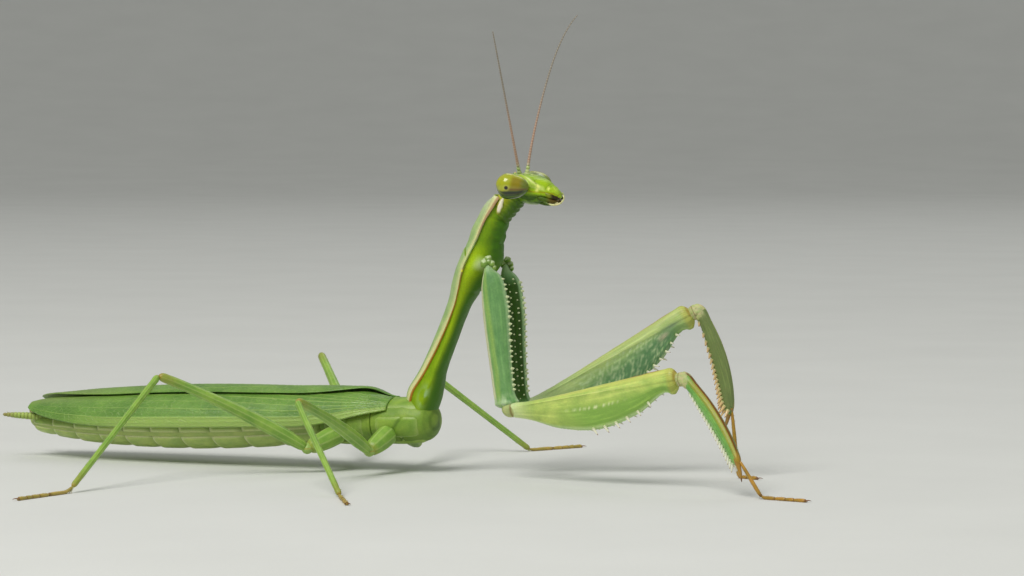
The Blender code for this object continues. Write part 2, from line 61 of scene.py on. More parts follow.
def in_room(point):
    """A body point in millimetres as a place in the room, in metres."""
    return UNDER_HINGE + point * MM


def towards(azimuth, elevation):
    """Unit vector from the model to a viewer or lamp, azimuth 0 being its right side."""
    turn, lift = math.radians(azimuth), math.radians(elevation)
    return Vector((math.sin(turn) * math.cos(lift), -math.cos(turn) * math.cos(lift), math.sin(lift)))


LOOKED_AT = Vector((8.56, 0.0, 16.8))
VIEW = towards(24.0, 3.0)
VIEW_DISTANCE, VIEW_WIDTH, SENSOR = 350.0, 91.02, 36.0
camera = bpy.data.objects.new("camera", bpy.data.cameras.new("camera"))
camera.data.sensor_width = SENSOR
camera.data.lens = SENSOR * VIEW_DISTANCE / VIEW_WIDTH
camera.data.clip_start, camera.data.clip_end = 0.01, 20.0
camera.location = in_room(LOOKED_AT + VIEW * VIEW_DISTANCE)
camera.rotation_mode = "QUATERNION"
camera.rotation_quaternion = (-VIEW).to_track_quat("-Z", "Y")
bpy.context.scene.collection.objects.link(camera)
bpy.context.scene.camera = camera
bpy.context.scene.view_settings.view_transform = "Standard"


def hang_lamp(name, azimuth, elevation, distance, width, watts, warmth):
    """Soft square lamp that faces the model."""
    data = bpy.data.lights.new(name, "AREA")
    data.size, data.energy, data.color = width, watts, warmth
    lamp = bpy.data.objects.new(name, data)
    way = towards(azimuth, elevation)
    lamp.location = in_room(LOOKED_AT) + way * distance
    lamp.rotation_mode = "QUATERNION"
    lamp.rotation_quaternion = (-way).to_track_quat("-Z", "Y")
    bpy.context.scene.collection.objects.link(lamp)


hang_lamp("key_lamp", -12.0, 52.0, 0.70, 0.34, 3.7, (1.0, 0.98, 0.94))
hang_lamp("fill_lamp", 85.0, 24.0, 0.80, 0.50, 0.35, (0.94, 0.97, 1.0))
hang_lamp("back_lamp", 190.0, 42.0, 0.80, 0.40, 0.5, (1.0, 1.0, 1.0))

world = bpy.data.worlds.new("open_sky")
world.use_nodes = True
world.node_tree.nodes["Background"].inputs["Color"].default_value = (1.0, 1.0, 0.97, 1.0)
world.node_tree.nodes["Background"].inputs["Strength"].default_value = 0.36
bpy.context.scene.world = world

FLOOR_RADIUS, WALL_RADIUS, WALL_SIDES = 0.9, 1.9, 96
profile = [(r, 0.0) for r in (0.1, 0.3, 0.6, FLOOR_RADIUS)]
for k in range(1, 13):
    bend = math.radians(90.0 * k / 12)
    reach = WALL_RADIUS - FLOOR_RADIUS
    profile.append((FLOOR_RADIUS + reach * math.sin(bend), reach * (1 - math.cos(bend))))
card_points = [Vector((0.0, 0.0, 0.0))]
for radius, height in profile:
    for k in range(WALL_SIDES):
        turn = 2 * math.pi * k / WALL_SIDES
        card_points.append(Vector((radius * math.cos(turn), radius * math.sin(turn), height)))
card_faces = [(0, 1 + k, 1 + (k + 1) % WALL_SIDES) for k in range(WALL_SIDES)]
for ring in range(len(profile) - 1):
    inner, outer = 1 + ring * WALL_SIDES, 1 + (ring + 1) * WALL_SIDES
    for k in range(WALL_SIDES):
        after = (k + 1) % WALL_SIDES
        card_faces.append((inner + k, outer + k, outer + after, inner + after))
card_mesh = bpy.data.meshes.new("studio_card")
card_mesh.from_pydata(card_points, [], card_faces)
card_mesh.shade_smooth()
card = bpy.data.objects.new("studio_card", card_mesh)
bpy.context.scene.collection.objects.link(card)


def colour(display):
    """Linear colour from the display value written RRGGBB."""
    channels = [int(display[k:k + 2], 16) / 255 for k in (0, 2, 4)]
    return (*[c / 12.92 if c < 0.04 else ((c + 0.055) / 1.055) ** 2.4 for c in channels], 1.0)


class Finish:
    """A material under way: its shader, and short ways to add the nodes that feed it."""

    def __init__(self, name, **sockets):
        self.material = bpy.data.materials.new(name)
        self.material.use_nodes = True
        self.tree = self.material.node_tree
        self.shader = self.tree.nodes["Principled BSDF"]
        for label, value in sockets.items():
            self.put(self.shader.inputs[label.replace("_", " ")], value)
        place = self.node("TexCoord", {}, "Object")
        self.millimetres = self.node("Mapping", {"Vector": place, "Scale": (1 / MM, 1 / MM, 1 / MM)})

    def put(self, socket, value):
        """Sets a socket to a value, or links it to another node's socket."""
        if isinstance(value, bpy.types.NodeSocket):
            self.tree.links.new(value, socket)
        else:
            socket.default_value = value

    def node(self, kind, inputs, output=0, **settings):
        """Adds a node and returns one of its outputs."""
        made = self.tree.nodes.new("ShaderNode" + kind)
        for setting, value in settings.items():
            setattr(made, setting, value)
        for label, value in inputs.items():
            self.put(made.inputs[label], value)
        return made.outputs[output]

    def reading(self, label):
        """What the mesh says of each of its points under that name."""
        return self.node("Attribute", {}, "Fac", attribute_name=label)

    def sum(self, operation, first, second=0.0):
        """Arithmetic on two numbers."""
        return self.node("Math", {0: first, 1: second}, operation=operation)

    def grain(self, per_mm, detail=2.0, stretch=None):
        """Cloudy noise with that many grains to the millimetre."""
        where = self.millimetres
        if stretch:
            where = self.node("Mapping", {"Vector": where, "Scale": stretch})
        return self.node("TexNoise", {"Vector": where, "Scale": per_mm, "Detail": detail})

    def streaks(self, along, round_it):
        """Noise drawn out along the piece: so many changes along it, and so many round it."""
        where = self.node("CombineXYZ", {
            "X": self.sum("MULTIPLY", self.reading("along"), along),
            "Y": self.sum("MULTIPLY", self.reading("across"), round_it),
            "Z": self.sum("MULTIPLY", self.reading("rise"), round_it),
        })
        return self.node("TexNoise", {"Vector": where, "Scale": 1.0, "Detail": 3.0})

    def cells(self, per_mm):
        """Distance pattern of packed cells."""
        inputs = {"Vector": self.millimetres, "Scale": per_mm}
        return self.node("TexVoronoi", inputs, "Distance", feature="F1")

    def ease(self, value, low, high, bottom=0.0, top=1.0):
        """Smooth step from bottom to top as the value goes from low to high."""
        inputs = {"Value": value, "From Min": low, "From Max": high, "To Min": bottom, "To Max": top}
        return self.node("MapRange", inputs, interpolation_type="SMOOTHSTEP")

    def blend(self, share, first, second, mode="MIX"):
        """Two colours mixed by a share."""
        inputs = {0: share, 6: first, 7: second}
        return self.node("Mix", inputs, 2, data_type="RGBA", blend_type=mode)

    def raise_by(self, height, millimetres, normal=None):
        """Relief too fine for the mesh."""
        inputs = {"Height": height, "Distance": millimetres * MM}
        if normal:
            inputs["Normal"] = normal
        return self.node("Bump", inputs)

    def done(self, tint, normal=None, roughness=None):
        """Feeds the shader and returns the material."""
        self.put(self.shader.inputs["Base Color"], tint)
        if normal:
            self.put(self.shader.inputs["Normal"], normal)
        if roughness:
            self.put(self.shader.inputs["Roughness"], roughness)
        return self.material


def pale_card():
    """Matt off-white card with a faint fibre."""
    finish = Finish("pale_card", Roughness=0.9)
    tint = finish.blend(finish.grain(0.05, 4.0), colour("D3D5D2"), colour("DCDEDB"))
    return finish.done(tint, finish.raise_by(finish.grain(2.0, 3.0), 0.02))


card_mesh.materials.append(pale_card())

# ---------------------------------------------------------------- head capsule
# The head is one hard triangular capsule, carried face up with the mouth forwards. Raised
# keels run from the feelers down the face; sutures part the shield, clypeus and cheeks.
HINGE = Vector((0.0, 0.0, 6.35))
PRONOTUM, PROTHORAX_PITCH = 19.8, 69.6
HEAD_PITCH, HEAD_TURN, HEAD_LENGTH = -18.8, 2.5, 5.6


def aim(pitch, yaw=0.0, side=1):
    """Unit vector at a pitch above the level, turned outwards from +X on one side."""
    flat, outward = math.cos(math.radians(pitch)), math.radians(yaw)
    return Vector((flat * math.cos(outward), side * flat * math.sin(outward), math.sin(math.radians(pitch))))


def between(stations, t):
    """Sizes at t, on smooth curves through the stations (t, size, size, ...)."""
    def slope(i, column):
        before, after = stations[max(i - 1, 0)], stations[min(i + 1, len(stations) - 1)]
        return (after[column] - before[column]) / (after[0] - before[0])

    t = min(max(t, stations[0][0]), stations[-1][0])
    i = max(k for k in range(len(stations) - 1) if stations[k][0] <= t)
    span = stations[i + 1][0] - stations[i][0]
    u = (t - stations[i][0]) / span
    sizes = []
    for column in range(1, len(stations[0])):
        start, end = stations[i][column], stations[i + 1][column]
        bend = slope(i, column) * (u - 2 * u * u + u ** 3) + slope(i + 1, column) * (u ** 3 - u * u)
        sizes.append(start + (end - start) * (3 * u * u - 2 * u ** 3) + bend * span)
    return sizes


def straight(start, end, bow=Vector((0, 0, 0))):
    """Axis from start to end that bows out by the given vector at its middle."""
    return lambda t: start.lerp(end, t) + bow * (4 * t * (1 - t))


def through(*points):
    """Smooth axis through the points."""
    stations = [(k / (len(points) - 1), *point) for k, point in enumerate(points)]
    return lambda t: Vector(between(stations, t))


def rising(value, low, high):
    """Smooth step from 0 at low to 1 at high."""
    u = min(1.0, max(0.0, (value - low) / (high - low)))
    return u * u * (3 - 2 * u)


def bell(value, centre, half):
    """Smooth hump: 1 at the centre, 0 from half its width away."""
    return rising(half - abs(value - centre), 0.0, half)


def slice_at(axis, up, stations, t, caps=(0.06, 0.06), edge=1.0, level=0.0, until=1.0):
    """The body's section at t, as a function from an angle to (point, way out)."""
    radial = 1.0
    for near_end, cap in ((t, caps[0]), (until - t, caps[1])):
        radial *= math.sqrt(max(0.0, 1 - (1 - min(1.0, near_end / cap)) ** 2))
    width, above, below = between(stations, t)
    centre = axis(t)
    along = (axis(min(until, t + 0.002)) - axis(max(0.0, t - 0.002))).normalized()
    side = along.cross(up).normalized()
    raised = side.cross(along)

    def at(around):
        across, rise = math.cos(around), math.sin(around)
        reach = above if rise > 0 else below
        away = side * (width * across) + raised * (reach * math.copysign(abs(rise) ** edge, rise))
        return centre + (away + raised * level) * radial, away.normalized() * radial

    return at


def skin(axis, up, stations, rings, sides, relief=None, **form):
    """Closed skin drawn out along an axis: its points, faces and readings.

    Each station is (t, half width, reach above the axis, reach below it). Relief(t, across,
    rise) pushes the skin out; across and rise are the cosine and sine of the angle.
    """
    points, faces, readings = [], [], {"along": [], "across": [], "rise": []}
    for ring in range(rings + 1):
        t = (1 - math.cos(math.pi * ring / rings)) / 2
        at = slice_at(axis, up, stations, t, **form)
        for step in range(sides if 0 < ring < rings else 1):
            around = 2 * math.pi * step / sides
            across, rise = math.cos(around), math.sin(around)
            point, out = at(around)
            points.append(point + out * relief(t, across, rise) if relief else point)
            for label, value in (("along", t), ("across", across), ("rise", rise)):
                readings[label].append(value)
    last = len(points) - 1
    for step in range(sides):
        after = (step + 1) % sides
        faces.append((0, 1 + step, 1 + after))
        for ring in range(rings - 2):
            here, there = 1 + ring * sides, 1 + (ring + 1) * sides
            faces.append((here + step, there + step, there + after, here + after))
        end = 1 + (rings - 2) * sides
        faces.append((end + step, last, end + after))
    return points, faces, readings


def paint(shape, **coats):
    """Adds a reading for each coat: its share, 0 to 1, by (along, across, rise)."""
    readings = shape[2]
    spots = list(zip(readings["along"], readings["across"], readings["rise"]))
    for label, share in coats.items():
        readings[label] = [share(*spot) for spot in spots]
    return shape


def show(name, shape, finish):
    """Object of that name, shape and finish."""
    points, faces, readings = shape
    mesh = bpy.data.meshes.new(name)
    mesh.from_pydata([in_room(point) for point in points], [], faces)
    mesh.shade_smooth()
    for label, values in readings.items():
        mesh.attributes.new(label, "FLOAT", "POINT").data.foreach_set("value", values)
    mesh.materials.append(finish)
    piece = bpy.data.objects.new(name, mesh)
    bpy.context.scene.collection.objects.link(piece)
    return piece


def cuticle(name, ground, coats=(), roughness=0.36, gloss=0.25, glow=0.12, clouding=0.5, grain=8.0,
    depth=0.010, streak=0.0):
    """Living cuticle: a clouded ground under painted coats, finely grained, with a waxy gloss.

    Each coat is (reading, colour), laid over those before it; streak is how far paler
    streaks run along the piece.
    """
    finish = Finish(
        name, Coat_Weight=gloss, Coat_Roughness=0.25, Specular_IOR_Level=0.26, Subsurface_Weight=glow,
        Subsurface_Radius=(0.5, 1.0, 0.25), Subsurface_Scale=0.5 * MM,
    )
    tone = colour(ground)
    deep = (tone[0] * 0.72, tone[1] * 0.80, tone[2] * 0.70, 1.0)
    bright = (min(1.0, tone[0] * 1.22), min(1.0, tone[1] * 1.12), tone[2] * 1.05, 1.0)
    clouds = finish.ease(finish.grain(0.8, 4.0), 0.5 - 0.5 * clouding, 0.5 + 0.5 * clouding)
    fine = finish.grain(grain, 2.0)
    tint = finish.blend(clouds, deep, bright)
    for label, coat in coats:
        ragged = finish.sum("ADD", 0.82, finish.sum("MULTIPLY", fine, 0.36))
        share = finish.node("Clamp", {"Value": finish.sum("MULTIPLY", finish.reading(label), ragged)})
        tint = finish.blend(share, tint, colour(coat))
    if streak:
        lines = finish.ease(finish.streaks(5.0, 7.0), 0.45, 0.68)
        tint = finish.blend(finish.sum("MULTIPLY", lines, streak), tint, (1.0, 1.0, 0.85, 1.0), "SOFT_LIGHT")
    speckle = finish.ease(fine, 0.35, 0.7)
    tint = finish.blend(finish.sum("MULTIPLY", speckle, 0.16), tint, (1.0, 1.0, 0.75, 1.0), "SOFT_LIGHT")
    pits = finish.cells(grain * 0.8)
    rough = finish.ease(fine, 0.25, 0.75, roughness - 0.07, roughness + 0.09)
    normal = finish.raise_by(pits, depth, finish.raise_by(clouds, depth * 3))
    return finish.done(tint, normal, rough)


FORWARD = aim(PROTHORAX_PITCH)
DORSAL = Vector((-FORWARD.z, 0.0, FORWARD.x))
PROTHORAX_TOP = HINGE + FORWARD * PRONOTUM
VERTEX = PROTHORAX_TOP + Vector((1.45, 0.0, 1.7))
MOUTHWARD = aim(HEAD_PITCH, HEAD_TURN, -1)
ACROSS = aim(0, 90 - HEAD_TURN)
FACEWARD = MOUTHWARD.cross(ACROSS)


def on_head(down, across, out):
    """Point on the head: down the face from the vertex, across, and out of the face."""
    return VERTEX + MOUTHWARD * down + ACROSS * across + FACEWARD * out


HEAD = [
    (0.0, 1.7, 0.40, 0.7),
    (0.12, 2.25, 0.58, 1.1),
    (0.30, 2.30, 0.80, 1.5),
    (0.48, 1.85, 0.98, 1.6),
    (0.64, 1.42, 1.00, 1.35),
    (0.78, 1.05, 0.82, 0.85),
    (0.90, 0.78, 0.50, 0.62),
    (1.0, 0.55, 0.30, 0.42),
]
HEAD_FORM = {"caps": (0.12, 0.1), "edge": 0.9}
head_axis = straight(on_head(-0.15, 0, 0), on_head(HEAD_LENGTH - 0.25, 0, 0.02))
KEEL = [(0.9, 0.55), (1.32, 0.86), (2.07, 1.27), (2.53, 1.41), (2.85, 1.46), (3.2, 1.41), (3.5, 1.34),
    (3.9, 1.2)]
CHEEK_LINE = [(2.3, -0.36), (3.0, -0.20), (3.7, -0.02), (4.1, 0.07), (4.9, 0.22)]
SHIELD_TOP, SHIELD_END, CLYPEUS_END = 1.62, 2.70, 4.05


def head_place(t, across):
    """Down the face and across it, in millimetres, at a point of the capsule."""
    return -0.15 + t * (HEAD_LENGTH - 0.1), abs(between(HEAD, t)[0] * across)


def head_relief(t, across, rise):
    """Keels, shield, clypeus and cheek folds of the capsule."""
    down, wide = head_place(t, across)
    front = rising(rise, 0.05, 0.35)
    keel = bell(wide, between(KEEL, down)[0], 0.20) * rising(down, 0.9, 1.5) * rising(4.1, down, down + 0.8)
    top_edge = SHIELD_TOP - 0.16 * (1 - (wide / 0.9) ** 2)
    shield = (
        rising(down, top_edge, top_edge + 0.2) * rising(SHIELD_END, down, down + 0.14)
        * rising(0.95, wide, wide + 0.18)
    )
    clypeus = (
        rising(down, 2.80, 3.15) * rising(CLYPEUS_END, down, down + 0.2) * rising(1.15, wide, wide + 0.2)
    )
    crown = bell(wide, 1.25, 0.22) * rising(1.0, down, down + 0.4)
    cheek = bell(rise, -0.18, 0.22) * rising(down, 2.2, 3.0)
    beads = noise.noise(Vector((down * 2.6, across * 3.0, rise * 3.0)))
    fold = bell(rise, -0.48, 0.16) * rising(down, 1.6, 2.4)
    return (
        front * (0.17 * keel + 0.045 * shield + 0.035 * clypeus - 0.05 * crown)
        + 0.10 * cheek - 0.06 * fold + 0.07 * max(0.0, beads) * rising(-rise, 0.35, 0.7)
    )


def cheek_height(down):
    """Height of the yellow line that parts the face from the cheek."""
    return between(CHEEK_LINE, down)[0]


head_shape = skin(head_axis, FACEWARD, HEAD, 110, 128, head_relief, **HEAD_FORM)
head_spots = [((p - VERTEX).dot(MOUTHWARD), abs((p - VERTEX).dot(ACROSS)), (p - VERTEX).dot(FACEWARD))
    for p in head_shape[0]]


def paint_head(**coats):
    """Adds a reading for each coat: its share, 0 to 1, by (down, across, out) on the head."""
    for label, share in coats.items():
        head_shape[2][label] = [share(*spot) for spot in head_spots]


paint_head(
    # under: darker green below the cheek line, partly the head's own colour and partly painted shade on its
    # underside
    under=lambda d, s, o: rising(cheek_height(d) - 0.1, o, o + 0.4),
    # keel: pale line along the face keels, partly a painted highlight on the ridges
    keel=lambda d, s, o: bell(s, between(KEEL, d)[0], 0.28) * rising(d, 0.8, 1.2)
    * (0.5 + 0.5 * bell(d, 2.4, 0.8)) * rising(o, 0.1, 0.3),
    # Two pale spots on the face and clypeus: painted highlights
    spark=lambda d, s, o: max(
        bell(d, 3.48, 0.26) * bell(s, 1.34, 0.22) * rising(o, -0.15, 0.1),
        0.8 * bell(d, 4.30, 0.26) * bell(s, 0.78, 0.22) * rising(o, 0.2, 0.4),
    ),
    shade=lambda d, s, o: rising(s, between(KEEL, d)[0] + 0.18, between(KEEL, d)[0] + 0.5)
        * rising(3.0, d, d + 0.8),
    mottle=lambda d, s, o: rising(cheek_height(d) - 0.15, o, o + 0.3)
    * rising(noise.noise(Vector((d * 3.1, s * 2.6, o * 3.4))), 0.02, 0.3),
    gape=lambda d, s, o: rising(d, 4.7, 4.95) * rising(0.02, o, o + 0.2) * rising(-o, -0.05, 0.1),
    chin=lambda d, s, o: rising(-o, 1.05, 1.4) * rising(d, 2.2, 2.8) * 0.7,
    cheek_line=lambda d, s, o: bell(o, cheek_height(d), 0.13) * rising(d, 2.3, 2.9) * rising(s, 0.2, 0.5),
    suture=lambda d, s, o: rising(o, 0.2, 0.4) * max(
        bell(d, SHIELD_END + 0.09 + 0.12 * s, 0.045) * rising(1.35, s, s + 0.1) * 0.45,
        bell(d, SHIELD_TOP - 0.16 * (1 - (s / 0.9) ** 2), 0.04) * rising(0.85, s, s + 0.1) * 0.8,
        bell(d, 2.91 + (s - 1.15) * 1.7, 0.08) * rising(s, 0.85, 1.0) * rising(1.6, s, s + 0.1),
        bell(d, CLYPEUS_END + 0.05, 0.04) * 0.7,
    ),
    # Paler wash over the middle of the face: a painted sheen
    gleam=lambda d, s, o: bell(d, 3.55, 0.7) * bell(s, 0.75, 0.5) * rising(o, 0.3, 0.6),
)
head_finish = cuticle(
    "head_green", "96BC10",
    (("under", "3A5C04"), ("mottle", "5E860C"), ("chin", "93A870"), ("shade", "78941A"),
        ("gleam", "A6CA18"), ("keel", "F6FFA0"),
     ("cheek_line", "98960E"), ("suture", "445208"), ("spark", "F6FF88"), ("gape", "5A4818")),
    roughness=0.36, gloss=0.14, grain=7.0,
)
head = show("head_capsule", head_shape, head_finish)
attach(head, "root")
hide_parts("head")

# ---------------------------------------------------------------- compound eyes
# Each eye is a glassy swelling of some thousand lenses on the corner of the head. Its tones
# lie under the surface, the dark spot being where the lenses look straight out.
EYE = [(0.0, 0.80, 0.82, 0.95), (0.3, 1.05, 1.02, 1.26), (0.6, 0.96, 0.96, 1.12), (1.0, 0.66, 0.66, 0.62)]
EYE_FORM = {"caps": (0.3, 0.32)}
SIDES = (("right", -1), ("left", 1))
LENSES_PER_MM = 17.0


def eye_relief(t, across, rise):
    """Swelling of the eye's inner face beside the brow; across is positive towards the brow."""
    return 0.22 * bell(t, 0.80, 0.26) * rising(across, 0.35, 0.9) * rising(rise, -0.3, 0.2)


def eye_axis(side):
    """From the eye's upper end to its end near the cheek; the head is cocked, its left eye the higher."""
    return straight(on_head(0.2, side * 2.85, -0.36), on_head(3.02, side * 2.0, 0.1 if side < 0 else 0.4))


def eye_finish(name, spot):
    """Yellow-green lens skin with a brown patch, a dark lower stripe and the dark spot."""
    finish = Finish(name, Roughness=0.36, Specular_IOR_Level=0.18, Coat_Weight=0.8, Coat_Roughness=0.15,
        Coat_IOR=1.62,
                    Subsurface_Weight=0.15, Subsurface_Radius=(0.6, 0.9, 0.2), Subsurface_Scale=0.4 * MM)
    clouds = finish.grain(1.4, 3.0)
    tint = finish.blend(clouds, colour("98A40E"), colour("B4B61A"))
    tint = finish.blend(finish.sum("MULTIPLY", finish.reading("patch"), 0.92), tint, colour("8C7C06"))
    tint = finish.blend(finish.sum("MULTIPLY", finish.reading("edge"), 0.85), tint, colour("62780A"))
    tint = finish.blend(finish.sum("MULTIPLY", finish.reading("inner"), 0.9), tint, colour("8CA470"))
    tint = finish.blend(finish.reading("lower"), tint, colour("344C04"))
    tint = finish.blend(finish.sum("MULTIPLY", finish.reading("rim"), 0.8), tint, colour("5E7E24"))
    tint = finish.blend(finish.sum("MULTIPLY", finish.reading("brown"), 0.85), tint, colour("6E4208"))
    tint = finish.blend(finish.reading("stripe"), tint, colour("162604"))
    away = finish.node("VectorMath", {0: finish.millimetres, 1: tuple(in_room(spot) / MM)}, "Value",
        operation="DISTANCE")
    # Pale ring round the dark spot: a painted highlight
    tint = finish.blend(finish.ease(away, 0.16, 0.40, 0.5, 0.0), tint, colour("C0BC58"))
    tint = finish.blend(finish.ease(away, 0.12, 0.22, 1.0, 0.0), tint, colour("0B1002"))
    return finish.done(tint, finish.raise_by(finish.cells(LENSES_PER_MM), 0.004))


for name, side in SIDES:
    form = skin(eye_axis(side), FACEWARD, EYE, 72, 96, lambda t, c, r: eye_relief(t, side * c, r), **EYE_FORM)

    def stripe_gap(t, rise, outer):
        """Angle above the dark stripe's middle, in degrees."""
        return math.degrees(math.atan2(rise, outer)) - (-33 + 12 * t)

    paint(
        form,
        patch=lambda t, c, r: rising(t, 0.40, 0.56) * rising(r, -0.35, 0.1) * rising(1.0, r, r + 0.25),
        edge=lambda t, c, r: rising(t, 0.70, 0.88),
        # inner: grey-green over the eye's inner face, partly a painted sheen
        inner=lambda t, c, r: rising(side * c, 0.15 if side > 0 else 0.65, 0.75 if side > 0 else 0.95)
            * rising(r, -0.7 if side > 0 else 0.0, 0.4),
        stripe=lambda t, c, r: rising(8 + 9 * rising(t, 0.1, 0.45) - abs(stripe_gap(t, r, -side * c)), 0, 13)
        * rising(t, 0.06, 0.2) * rising(1.0, t, t + 0.2),
        brown=lambda t, c, r: bell(stripe_gap(t, r, -side * c), 16, 11) * rising(t, 0.30, 0.5),
        rim=lambda t, c, r: bell(stripe_gap(t, r, -side * c), -24, 7) * rising(t, 0.1, 0.3),
        # lower: olive-dark band under the stripe, partly the eye's colour and partly painted shade; the
        # darkening of the underside at the eye's upper end is painted shade
        lower=lambda t, c, r: max(
            rising(-stripe_gap(t, r, -side * c), -4, 14)
                * rising(64, -stripe_gap(t, r, -side * c), -stripe_gap(t, r, -side * c) + 20),
            rising(0.16, t, t + 0.14) * rising(-r, 0.1, 0.55) * 0.8,
        ),
    )
    at = slice_at(eye_axis(side), FACEWARD, EYE, 0.37, **EYE_FORM)
    spot = at(math.radians(-6 if side < 0 else 186))[0]
    eye = show("compound_eye_" + name, form, eye_finish("eye_lenses_" + name, spot))
    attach(eye, "root")
    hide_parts("eye_" + name)

# ---------------------------------------------------------------- ocelli
# Three simple eyes stand in a triangle on the brow between the feelers: clear glassy
# domes, each in a low green collar.
OCELLI = [(0.72, 0.0, 0.60, 0.13), (0.50, -0.30, 0.56, 0.15), (0.50, 0.30, 0.56, 0.15)]


def merged(shapes):
    """Several shapes as one."""
    points, faces, readings = [], [], {}
    for part in shapes:
        first = len(points)
        points += part[0]
        faces += [tuple(first + k for k in face) for face in part[1]]
        for label, values in part[2].items():
            readings.setdefault(label, []).extend(values)
    return points, faces, readings


def bead(foot, out, radius, height, rings=8, sides=12):
    """Rounded knob standing out of a surface."""
    up = FACEWARD if abs(out.dot(FACEWARD)) < 0.9 else ACROSS
    stations = [(0.0, radius, radius, radius), (0.45, radius, radius, radius),
        (1.0, radius * 0.7, radius * 0.7, radius * 0.7)]
    return skin(straight(foot - out * height, foot + out * height), up, stations, rings, sides,
        caps=(0.45, 0.5))


def ocellus_glass():
    """Clear dark amber dome."""
    finish = Finish("ocellus_glass", Roughness=0.06, Coat_Weight=1.0, Coat_Roughness=0.03)
    rim = finish.ease(finish.reading("along"), 0.55, 0.85)
    return finish.done(finish.blend(rim, colour("7A9A22"), colour("C9B56A")),
        finish.raise_by(finish.grain(6.0), 0.004))


ocelli = show("ocelli", merged([bead(on_head(d, s, o), FACEWARD, r, r * 1.1, 12, 20)
    for d, s, o, r in OCELLI]), ocellus_glass())
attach(ocelli, "root")

# ---------------------------------------------------------------- feelers
# A feeler is a chain of rings: a stout scape and pedicel turn in a socket on the brow, and
# a hair-thin whip of many rings follows, pink-brown at first and grey towards its tip.
FEELERS = {"right": (12.6, 0.0, 5.8, 0.0), "left": (14.2, 2.4, 3.6, 1.0)}
WHIP_RINGS = 58
WHIP = [(0.0, 0.14), (0.06, 0.115), (0.35, 0.085), (0.75, 0.065), (1.0, 0.04)]


def feeler_point(name, side, t):
    """Point at t along a feeler: it rises, spreads and leans forwards, and may curl."""
    rise, forwards, outwards, curl = FEELERS[name]
    foot = on_head(1.15, side * 0.75, 0.75)
    return foot + Vector((forwards * t ** 1.6 + curl * t ** 8, side * outwards * t, rise * t))


def round_rod(axis, up, radii, rings, sides, relief=None, caps=(0.05, 0.05)):
    """Round rod along an axis, its radii given as (t, radius)."""
    return skin(axis, up, [(t, r, r, r) for t, r in radii], rings, sides, relief, caps=caps)


def feeler_finish():
    """Pink-brown rings going grey, each with a paler joint."""
    finish = Finish("feeler_whip", Roughness=0.45, Coat_Weight=0.2)
    t = finish.reading("along")
    tint = finish.blend(finish.ease(t, 0.0, 0.04), colour("B4AC8C"), colour("A88672"))
    tint = finish.blend(finish.ease(t, 0.20, 0.62), tint, colour("8A8276"))
    ring = finish.sum("PINGPONG", finish.sum("MULTIPLY", t, WHIP_RINGS), 0.5)
    tint = finish.blend(finish.ease(ring, 0.0, 0.16, 0.45, 0.0), tint, colour("E0D6B4"))
    return finish.done(tint, finish.raise_by(finish.grain(14.0), 0.008))


whip_finish = feeler_finish()
base_finish = cuticle("feeler_base", "B2C48A", (("joint", "8A965A"),), roughness=0.45, gloss=0.1, grain=10.0)
for name, side in SIDES:
    along = (feeler_point(name, side, 0.1) - feeler_point(name, side, 0.0)).normalized()
    foot = feeler_point(name, side, 0.0)
    collar = round_rod(straight(foot - along * 0.25, foot + along * 0.10), ACROSS,
        [(0, 0.34), (0.7, 0.32), (1, 0.22)], 14, 28)
    scape = round_rod(
        straight(foot - along * 0.02, foot + along * 0.42), ACROSS, [(0, 0.15), (0.5, 0.205), (1, 0.15)],
        20, 24, caps=(0.2, 0.2)
    )
    pedicel = round_rod(
        straight(foot + along * 0.39, foot + along * 0.72), ACROSS, [(0, 0.13), (0.5, 0.175), (1, 0.14)],
        16, 24, caps=(0.2, 0.2)
    )
    base = merged([paint(part, joint=lambda t, c, r: rising(abs(t - 0.5), 0.38, 0.5))
        for part in (collar, scape, pedicel)])
    stem = show("feeler_base_" + name, base, base_finish)
    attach(stem, "root")
    start = 0.68 / FEELERS[name][0]
    whip = round_rod(
        lambda t: feeler_point(name, side, start + (1 - start) * t * 0.995), ACROSS, WHIP, WHIP_RINGS * 6, 10,
        relief=lambda t, c, r: 0.014 * abs(math.sin(math.pi * WHIP_RINGS * t)), caps=(0.004, 0.01),
    )
    feeler = show("feeler_whip_" + name, whip, whip_finish)
    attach(feeler, "root")
    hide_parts("antenna_" + name)

# ---------------------------------------------------------------- mouthparts
# Round the mouth hang the labrum as an upper lip, two brown-edged mandibles, the maxillae
# and the labium below, and two pairs of jointed palps that curl forwards under the mouth.


def sheet_faces(rows, columns):
    """Faces of a closed sheet: an upper and an under grid of points, joined round their border."""
    faces = []
    wide = columns + 1
    below = wide * (rows + 1)
    for i in range(rows):
        for j in range(columns):
            a, b = i * wide + j, (i + 1) * wide + j
            faces += [(a, b, b + 1, a + 1), (below + a, below + a + 1, below + b + 1, below + b)]
    border = [j for j in range(columns)] + [i * wide + columns for i in range(rows)]
    border += [rows * wide + j for j in range(columns, 0, -1)] + [i * wide for i in range(rows, 0, -1)]
    for k, a in enumerate(border):
        b = border[(k + 1) % len(border)]
        faces.append((a, b, below + b, below + a))
    return faces


